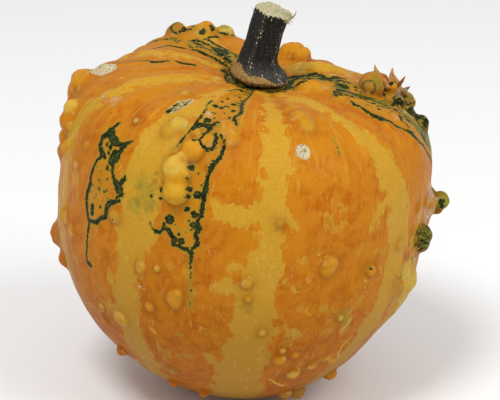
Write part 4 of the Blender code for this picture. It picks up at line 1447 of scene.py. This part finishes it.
def rind_material():
    """Waxy rind: orange with blocky yellow stripes, ragged green marks and tinted warts."""
    g = Graph("gourd_rind")
    place = g.values("place", "Vector")
    streaks = g.noise(g.values("streak", "Vector"), 0.35, 3, 0.6)
    broad = g.noise(place, 0.06, 2)
    middle = g.noise(place, 0.28, 4, 0.6)
    fine = g.noise(place, 1.3, 4, 0.6)
    grain = g.noise(place, 4.5, 3, 0.6)
    upright = g.stretch(place, (1, 1, 0.5))
    blocks = g.red_of(g.cells(upright, 0.36, "CHEBYCHEV", random=0.9))
    small_blocks = g.red_of(g.cells(upright, 0.95, "CHEBYCHEV", random=0.9))
    level = g.node("ShaderNodeSeparateXYZ", Vector=place).outputs[2]
    # low: 0 above 25 mm and 1 below -36 mm; it lays on the painted shade of the lower part
    low = g.step(level, 25, -36)
    high = g.step(level, 24, 38)

    # ground colours, darkened towards the bottom as painted shade
    orange = g.mix(g.step(middle, 0.38, 0.66), ORANGE, ORANGE_DEEP)
    orange = g.mix(g.times(g.step(broad, 0.42, 0.62), 0.5), orange, AMBER)
    orange = g.mix(g.times(g.step(fine, 0.5, 0.72), 0.4), orange, AMBER)
    cloudy = g.step(middle, 0.36, 0.64, 0.5, 0.85)
    # painted shade, with a deeper tone: the orange darkens and reddens towards the bottom, in clouds
    orange = g.mix(g.times(low, cloudy), orange, ORANGE_LOW_TONE_AND_SHADE)
    gathered = g.times(g.step(streaks, 0.52, 0.68), g.times(high, 0.6))
    orange = g.mix(gathered, orange, YELLOW)
    yellow = g.mix(g.times(g.step(fine, 0.35, 0.7), 0.6), YELLOW, YELLOW_DEEP)
    # painted shade: the yellow darkens towards the bottom
    yellow = g.mix(g.times(low, 0.8), yellow, YELLOW_LOW_SHADE)

    # stripes with torn, blocky edges and loose fragments
    stripe = g.values("yellow")
    uneven = g.plus(g.off_centre(blocks, 2.6), g.off_centre(small_blocks, 1.5))
    uneven = g.plus(uneven, g.off_centre(middle, 5.0))
    uneven = g.plus(uneven, g.off_centre(fine, 1.6))
    in_yellow = g.step(g.plus(stripe, uneven), -0.6, 0.6)
    blotch = g.step(g.plus(g.values("blotch"), uneven), -0.6, 0.8)
    in_yellow = g.greater(in_yellow, g.times(blotch, 0.65))
    loose = g.times(g.step(small_blocks, 0.84, 0.9), g.step(middle, 0.47, 0.6))
    loose = g.times(loose, g.step(stripe, -9, -2))
    in_yellow = g.greater(in_yellow, g.times(loose, 0.4))
    in_patch = g.step(g.plus(g.values("patch"), g.off_centre(middle, 3.0)), -0.8, 0.6)
    outside_patch = g.rest_of(g.times(in_patch, 0.9))
    in_yellow = g.times(in_yellow, outside_patch)
    colour = g.mix(in_yellow, orange, yellow)
    colour = g.mix(g.times(in_patch, 0.6), colour, OCHRE)

    # painted highlight: soft pale streaks that run up and down
    highlight_wisp = g.noise(g.values("streak", "Vector"), 0.85, 2, 0.5)
    highlight_wisp = g.times(g.step(highlight_wisp, 0.54, 0.72), g.step(middle, 0.42, 0.62))
    colour = g.mix(g.times(highlight_wisp, 0.3), colour, PALE)

    # pale flecks in the skin
    pores = g.cells(place, 0.8, output="Distance")
    pore = g.times(g.step(pores, 0.2, 0.08), g.step(fine, 0.48, 0.6))
    colour = g.mix(g.times(pore, 0.35), colour, PALE)

    # short curved pale scratches, most of them low on the fruit
    curl = g.math("ABSOLUTE", g.off_centre(g.noise(place, 0.22, 2, 0.5), 1.0))
    scratch = g.times(g.step(curl, 0.016, 0.003), g.step(g.noise(place, 0.42, 2), 0.56, 0.66))
    scratch = g.times(scratch, g.step(level, 30, 0, 0.1, 0.32))
    colour = g.mix(scratch, colour, CREAM)

    # dry scars: pale crust
    crust_edge = g.plus(g.values("scar"), g.off_centre(fine, 0.7))
    crust = g.mix(g.step(grain, 0.35, 0.65), CRUST, CRUST_PALE)
    in_crust = g.step(crust_edge, -0.1, 0.12)
    colour = g.mix(in_crust, colour, crust)

    # tinted warts and stains
    tint = g.node("ShaderNodeAttribute", {"attribute_name": "tint"})
    wart = g.mix(g.step(fine, 0.35, 0.8), tint.outputs["Color"], (0.9, 0.86, 0.8), "MULTIPLY")
    colour = g.mix(tint.outputs["Alpha"], colour, wart)

    # dark cracks and rim of the scars, the painted highlight in cream on the sides of warts, and the painted
    # shade in the crease at a wart's foot
    cracks = g.cells(place, 1.3, feature="DISTANCE_TO_EDGE", output="Distance")
    gap = g.times(g.step(cracks, 0.1, 0.03), g.step(fine, 0.42, 0.55))
    gap = g.times(g.times(gap, 0.75), in_crust)
    colour = g.mix(gap, colour, CRUST_CRACK)
    rim = g.times(in_crust, g.step(crust_edge, 0.35, 0.0))
    colour = g.mix(g.times(rim, 0.7), colour, CRUST_RIM)
    height = g.values("height")
    # painted highlight: cream in patches on each wart's sides, from 0.25 to 1.3 mm above the body
    crest_highlight = g.times(g.step(height, 0.25, 0.6), g.step(height, 1.3, 0.8))
    crest_highlight = g.times(crest_highlight, g.step(middle, 0.5, 0.6))
    colour = g.mix(g.times(crest_highlight, 0.45), colour, CREAM)
    # painted shade in the crease round each wart's foot
    colour = g.mix(g.times(g.values("fold"), 0.6), colour, FOLD_SHADE)

    # green marks: near-black ragged rim, lighter mottled core, dull halo
    torn = g.plus(g.off_centre(fine, 1.7), g.off_centre(grain, 1.2))
    torn = g.plus(torn, g.times(g.off_centre(streaks, 2.0), high))
    ragged = g.plus(g.values("green"), torn)
    bare = g.rest_of(g.times(tint.outputs["Alpha"], 0.75))
    halo = g.times(g.step(ragged, -0.9, -0.1), g.times(bare, 0.6))
    colour = g.mix(halo, colour, HALO)
    core = g.times(g.step(ragged, 0.45, 0.9), g.step(fine, 0.42, 0.58))
    green = g.mix(g.step(middle, 0.35, 0.7), GREEN_DARK, GREEN)
    green = g.mix(g.times(core, 0.75), green, GREEN_CORE)
    colour = g.mix(g.step(ragged, -0.12, 0.14), colour, green)

    waxy = g.step(fine, 0.2, 0.8, *WAXY_ROUGHNESS)
    rough = g.greater(waxy, g.step(crust_edge, -0.1, 0.2, 0.0, CRUST_ROUGHNESS))
    skin = g.bump(grain, 0.12, 0.1 * MM, g.bump(fine, 0.25, 0.3 * MM))
    return g.surface(colour, rough, RIND_SHINE, skin)


def stalk_material():
    """Dried stalk: near-black ridged skin with pale flecks, tan foot with a dark band of painted shadow
    along its bottom edge, and fibrous cream cut end.
    """
    g = Graph("gourd_stalk")
    place = g.values("place", "Vector")
    ridge = g.values("ridge")
    long_grain = g.noise(g.stretch(place, (1, 1, 0.1)), 2.2, 4, 0.65)
    hairlines = g.noise(g.stretch(place, (1, 1, 0.06)), 5.5, 2, 0.6)
    fine = g.noise(place, 2.2, 4, 0.6)
    grain = g.noise(place, 6.0, 3, 0.6)

    skin = g.mix(g.step(long_grain, 0.4, 0.7), SKIN_DARK, SKIN_LIGHT)
    skin = g.mix(g.times(g.step(hairlines, 0.58, 0.7), 0.5), skin, SKIN_GREY)
    skin = g.mix(g.times(g.step(ridge, 0.35, 1), 0.45), skin, SKIN_RIDGE)
    haze = g.times(g.values("foot"), g.step(grain, 0.4, 0.66))
    skin = g.mix(g.times(haze, 0.8), skin, SKIN_HAZE)

    # pale flecks, crowded on the ridges and near the foot
    crowd = g.plus(g.times(ridge, 0.17), g.times(g.values("foot"), 0.08))
    chance = g.step(g.plus(fine, crowd), 0.62, 0.68)
    flecks = g.cells(g.stretch(place, (1, 1, 0.7)), 1.15, output="Distance")
    small_flecks = g.cells(g.stretch(place, (1, 1, 0.6)), 2.6, output="Distance")
    fleck = g.greater(g.step(flecks, 0.3, 0.2), g.step(small_flecks, 0.26, 0.16))
    fleck = g.times(fleck, chance)
    skin = g.mix(fleck, skin, FLECK)

    tan = g.mix(g.step(fine, 0.32, 0.68), TAN_DARK, TAN)
    tan = g.mix(g.times(g.step(grain, 0.55, 0.7), 0.6), tan, TAN_PALE)
    # the tan collar stops 0.9 mm above the foot; the dark skin colour below it is painted shadow under the
    # collar
    collar = g.plus(g.values("collar"), g.off_centre(fine, 1.8))
    colour = g.mix(g.step(collar, -0.15, 0.2), skin, tan)

    cream = g.mix(g.step(grain, 0.35, 0.62), CUT_DARK, CUT)
    cream = g.mix(g.times(g.step(fine, 0.55, 0.7), 0.5), cream, CUT_GREEN)
    cream = g.mix(g.times(g.values("torn"), 0.5), cream, CUT_GREEN)
    cut = g.plus(g.values("cut"), g.off_centre(long_grain, 2.4))
    cut = g.plus(cut, g.off_centre(fine, 1.2))
    colour = g.mix(g.step(cut, -0.12, 0.15), colour, cream)
    rough = g.bump(long_grain, 0.6, 0.6 * MM)
    rough = g.bump(hairlines, 0.5, 0.3 * MM, rough)
    rough = g.bump(grain, 0.5, 0.3 * MM, rough)
    return g.surface(colour, STALK_ROUGHNESS, STALK_SHINE, rough)


# ------------------------------------------------------------------------------------------ stalk
# Stations: (height above the foot, sideways shift, radius)
STALK_STATIONS = (
    (0.0, 0.5, 6.9),
    (0.8, 0.5, 7.7),
    (1.7, 0.4, 8.2),
    (2.7, 0.2, 7.8),
    (3.6, 0.0, 7.1),
    (5.0, -0.5, 6.1),
    (7.5, -0.7, 5.4),
    (11.0, 0.0, 5.0),
    (15.5, 0.6, 4.9),
    (19.0, 1.4, 5.0),
    (20.5, 1.9, 5.2),
    (21.2, 2.1, 5.2),
)
STALK_HEIGHT = STALK_STATIONS[-1][0]
STALK_TOP_TILT_DEG = 9.0
STALK_RIDGES = 5
STALK_RIDGE_TURN_DEG = 28
STALK_SIDES = 168
STALK_ROWS = 130
CUT_ROWS = 30
CUT_EDGE_LIFT = 0.3
TORN_TURN_DEG = 70


def station_at(height):
    """The stalk's sideways shift and radius at a height."""
    heights, shifts, radii = zip(*STALK_STATIONS)
    return float(np.interp(height, heights, shifts)), float(np.interp(height, heights, radii))


def collar_height(turn):
    """How far up the tan corky collar reaches: most on the left, least on the right."""
    return 3.1 - 1.8 * math.sin(turn) + 0.5 * math.sin(5 * turn + 1)


def stalk_point(angle, height, scale, lift):
    """A point of the stalk in the fruit's frame above the seat, and how near it is to a ridge."""
    shift, radius = station_at(height)
    part_way = height / STALK_HEIGHT
    wave = math.cos(STALK_RIDGES * (angle - math.radians(STALK_RIDGE_TURN_DEG)))
    ridge = max(0.0, wave) ** 3
    furrow = math.cos(STALK_RIDGES * 5 * angle + 2 * math.sin(3 * angle))
    reach = radius * (1 + (0.015 + 0.045 * part_way) * wave + 0.03 * ridge + 0.008 * furrow)
    way = Vector((math.cos(angle), math.sin(angle), 0))
    turn = math.atan2(way.x, -way.y)
    rough = noise.noise(way * 2.5 + Vector((0, 0, height * 0.25)))
    small = noise.noise(way * 9 + Vector((5, 0, height * 1.1)))
    reach *= 1 + 0.014 * rough
    collar = smooth_step(collar_height(turn) - height, -0.3, 0.5) * smooth_step(height, 0.0, 0.6)
    reach += collar * (0.25 + 0.35 * small) + (1 - collar) * 0.07 * small
    spot = way * reach * scale
    if scale < 1 or lift:
        tufts = noise.noise(spot * 0.8) * 0.8 + noise.noise(spot * 2.6) * 0.6
        back = max(0.0, math.cos(turn - math.radians(200))) ** 2
        spot.z = lift + tufts * smooth_step(1 - scale, -0.02, 0.1) + 1.0 * back * scale ** 3
    tilt = Matrix.Rotation(math.radians(STALK_TOP_TILT_DEG) * part_way, 4, "Y")
    return Matrix.Translation((shift, 0, height)) @ tilt @ spot, ridge, turn


def close_rings(shape, rings):
    """Faces between neighbouring rings of points, and over both ends."""
    for lower, upper in zip(rings, rings[1:]):
        for side in range(len(lower)):
            beside = (side + 1) % len(lower)
            shape.faces.new((lower[side], lower[beside], upper[beside], upper[side]))
    shape.faces.new(list(reversed(rings[0])))
    shape.faces.new(rings[-1])
    bmesh.ops.recalc_face_normals(shape, faces=shape.faces[:])


def on_seat():
    """From the stalk's own frame in millimetres to the world in metres."""
    return placement() @ Matrix.Translation((0, 0, SEAT_RISE + STALK_GAP))


def build_stalk():
    """The stalk as one closed skin: foot, collar, ridged column and a ragged, fibrous cut end."""
    shape = bmesh.new()
    place = on_seat()
    rows = [(STALK_HEIGHT * row / STALK_ROWS, 1.0, 0.0) for row in range(STALK_ROWS + 1)]
    rows += [(STALK_HEIGHT, scale, CUT_EDGE_LIFT) for scale in np.linspace(0.975, 0.04, CUT_ROWS)]
    rings = []
    facts = []
    for height, scale, lift in rows:
        ring = []
        for side in range(STALK_SIDES):
            point, ridge, turn = stalk_point(2 * math.pi * side / STALK_SIDES, height, scale, lift)
            ring.append(shape.verts.new(place @ point))
            facts.append((*point, ridge, turn, height, scale < 1))
        rings.append(ring)
    close_rings(shape, rings)
    facts = np.array(facts, float)
    ridges, turns, heights, in_cut = facts[:, 3:].T
    collar = np.array([collar_height(turn) for turn in turns])
    torn = np.clip(np.cos(turns - math.radians(TORN_TURN_DEG)), 0, 1) ** 8
    stalk = new_piece(
        "dried_stalk", shape, stalk_material(), place=facts[:, :3], ridge=ridges,
        # below 0.9 mm the collar value turns negative and the dark skin colour stays: painted shadow under
        # the collar
        foot=smooth_step(heights, 8.5, 2.5), collar=np.minimum(collar - heights, heights - 0.9),
        torn=torn, cut=np.where(in_cut, 2.0, heights - STALK_HEIGHT + 0.25 + 2.2 * torn),
    )
    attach(stalk, "root")
    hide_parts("stalk")


# ------------------------------------------------------------------------ dry scales and fibres
def above_skin(turn, rise, height):
    """A point at a height above the smooth body, in the fruit's own frame."""
    direction = skin_directions([(turn, rise)])
    return Vector(body_surface(direction)[0] + body_normals(direction)[0] * height)


SWEPT_SIDES = 8
SWEPT_STEPS = 12


def swept(shape, path, half_widths, half_depths, across):
    """A closed body of oval section along a path; its width lies along a given direction."""
    rings = []
    for index, point in enumerate(path):
        along = (path[min(index + 1, len(path) - 1)] - path[max(index - 1, 0)]).normalized()
        side = (across - along * across.dot(along)).normalized()
        out = along.cross(side)
        ring = []
        for step in range(SWEPT_SIDES):
            angle = 2 * math.pi * step / SWEPT_SIDES
            offset = side * math.cos(angle) * half_widths[index] + out * math.sin(angle) * half_depths[index]
            ring.append(shape.verts.new(point + offset))
        rings.append(ring)
    close_rings(shape, rings)


def curved_path(start, end, bend):
    """Points from start to end along a bow that swings out by bend at its middle, and their parts."""
    parts = np.linspace(0, 1, SWEPT_STEPS)
    return [start.lerp(end, part) + bend * (4 * part * (1 - part)) for part in parts], parts


def finish_swept(shape, name, material, place):
    """Move the swept bodies from their own frame to the world and make one object of them."""
    points = np.array([vertex.co[:] for vertex in shape.verts])
    for vertex in shape.verts:
        vertex.co = place @ vertex.co
    piece = new_piece(name, shape, material, place=points)
    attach(piece, "root")


def dry_material(name, dark, light, pale):
    """Papery dried tissue, streaked along its length."""
    g = Graph(name)
    place = g.values("place", "Vector")
    fine = g.noise(place, 1.6, 4, 0.6)
    grain = g.noise(place, 5.0, 3, 0.6)
    colour = g.mix(g.step(fine, 0.35, 0.65), dark, light)
    colour = g.mix(g.times(g.step(grain, 0.52, 0.66), 0.6), colour, pale)
    return g.surface(colour, DRY_ROUGHNESS, DRY_SHINE, g.bump(grain, 0.5, 0.3 * MM))


# Dried pointed scales: (place and height of the base, place and height of the tip, half width)
SCALES = (
    ((105, 44.5, 1.2), (108.5, 45.5, 6.6), 0.95),
    ((105.5, 43, 1.8), (100, 44, 7.2), 0.8),
    ((109, 47, 2.5), (112, 49, 5.6), 1.0),
    ((98, 46.5, 2.0), (101, 49, 4.2), 0.8),
    ((103, 41.5, 2.0), (98, 42, 5.4), 0.9),
    ((96, 42, 2.6), (92, 44.5, 4.6), 0.8),
    ((108, 41, 2.0), (112, 43, 4.8), 0.9),
    ((92, 41, 1.6), (88, 42.5, 2.8), 0.6),
)
SCALE_HALF_DEPTH = 0.16


def build_scales():
    """Thin curled scales of dried skin on the crowded warts of the right shoulder."""
    rng = random.Random(11)
    shape = bmesh.new()
    for base, tip, half_width in SCALES:
        bend = Vector([rng.uniform(-0.5, 0.5) for _ in range(3)])
        path, parts = curved_path(above_skin(*base), above_skin(*tip), bend)
        widths = half_width * np.sqrt(np.sin(np.pi * (0.22 + 0.77 * parts))) * (1 - 0.72 * parts ** 2)
        depths = SCALE_HALF_DEPTH * (1 - 0.6 * parts)
        across = Vector((1.0, rng.uniform(-0.6, 0.3), rng.uniform(-0.4, 0.4)))
        swept(shape, path, widths, depths, across)
    finish_swept(shape, "dry_scales", dry_material("dry_scale", *SCALE_COLOURS), placement())


# Fibres at the cut end: a long hooked one, more on the torn side, and the rest all round
TORN_FIBRES = 15
FIBRE_COUNT = 26


def build_fibres():
    """Torn fibres that stand up and hang over at the stalk's cut end."""
    rng = random.Random(5)
    shape = bmesh.new()
    for index in range(FIBRE_COUNT):
        hook = index == 0
        turn = math.radians(TORN_TURN_DEG + (10 if hook else rng.gauss(0, 28)))
        if index >= TORN_FIBRES:
            turn = rng.uniform(0, 2 * math.pi)
        angle = turn - math.pi / 2
        depth = 0.8 if hook else rng.uniform(0.2, 1.6)
        start, _, _ = stalk_point(angle, STALK_HEIGHT - depth, 0.985, 0.0)
        way = Vector((math.cos(angle), math.sin(angle), 0))
        length = 3.4 if hook else rng.uniform(0.6, 1.9)
        rise = 0.95 if hook else rng.uniform(-0.5, 1.0)
        end = start + (way * (0.45 if hook else 0.35) + Vector((0, 0, rise))).normalized() * length
        path, parts = curved_path(start, end, way * (0.7 if hook else rng.uniform(0.0, 0.3)))
        half = (0.42 if hook else rng.uniform(0.1, 0.2)) * (1 - 0.85 * parts)
        swept(shape, path, half, half * 0.7, Vector((-way.y, way.x, 0.01)))
    finish_swept(shape, "stalk_fibres", dry_material("dry_fibre", *FIBRE_COLOURS), on_seat())


# ---------------------------------------------------------------------------- floor, light, camera
FLOOR_SIZE = 6
FLOOR_COLOUR = (0.9, 0.9, 0.9)
FLOOR_ROUGHNESS = 0.9
FLOOR_SHINE = 0.1

# Soft round lights: (name, place, width, power); both aim at the middle of the fruit
LIGHTS = (
    ("key", (-0.35, -0.55, 1.2), 0.45, 9.0),
    ("fill", (0.8, -0.5, 1.0), 0.8, 6.6),
)
LIGHT_AIM = (0, 0, 0.05)
SKY_STRENGTH = 0.55

# The camera looks at a point a little to the right of the fruit's middle and above it
CAMERA_RISE_DEG = 20
CAMERA_DISTANCE = 0.65
AIM_RIGHT = 0.00237
AIM_UP = 0.00424
LENS_MM = 157.7
SENSOR_MM = 36


def build_floor():
    """A pale floor under the fruit, far wider than the picture."""
    bpy.ops.mesh.primitive_plane_add(size=FLOOR_SIZE)
    floor = bpy.context.object
    floor.name = "floor"
    floor.data.materials.append(Graph("pale_floor").surface(FLOOR_COLOUR, FLOOR_ROUGHNESS, FLOOR_SHINE))


def build_light():
    """White surroundings, and two soft lights from above the front."""
    scene = bpy.context.scene
    world = bpy.data.worlds.new("studio")
    world.use_nodes = True
    background = world.node_tree.nodes["Background"]
    background.inputs["Color"].default_value = (1, 1, 1, 1)
    background.inputs["Strength"].default_value = SKY_STRENGTH
    scene.world = world
    scene.view_settings.view_transform = "Standard"
    scene.view_settings.look = "None"
    for name, location, width, power in LIGHTS:
        data = bpy.data.lights.new(name, "AREA")
        data.shape = "DISK"
        data.size = width
        data.energy = power
        lamp = bpy.data.objects.new(name, data)
        scene.collection.objects.link(lamp)
        lamp.location = location
        lamp.rotation_euler = (Vector(LIGHT_AIM) - lamp.location).to_track_quat("-Z", "Y").to_euler()


def build_camera():
    """The camera in front of the fruit and above it, looking slightly down."""
    centre = placement().translation
    rise = math.radians(CAMERA_RISE_DEG)
    back = Vector((0, -math.cos(rise), math.sin(rise)))
    up = Vector((0, math.sin(rise), math.cos(rise)))
    right = Vector((1, 0, 0))
    aim = centre + right * AIM_RIGHT + up * AIM_UP
    data = bpy.data.cameras.new("camera")
    data.lens = LENS_MM
    data.sensor_width = SENSOR_MM
    data.clip_start = 0.01
    camera = bpy.data.objects.new("camera", data)
    camera.location = aim + back * CAMERA_DISTANCE
    camera.rotation_euler = (aim - camera.location).to_track_quat("-Z", "Y").to_euler()
    bpy.context.scene.collection.objects.link(camera)
    bpy.context.scene.camera = camera


build_rind()
build_stalk()
build_scales()
build_fibres()
build_floor()
build_light()
build_camera()
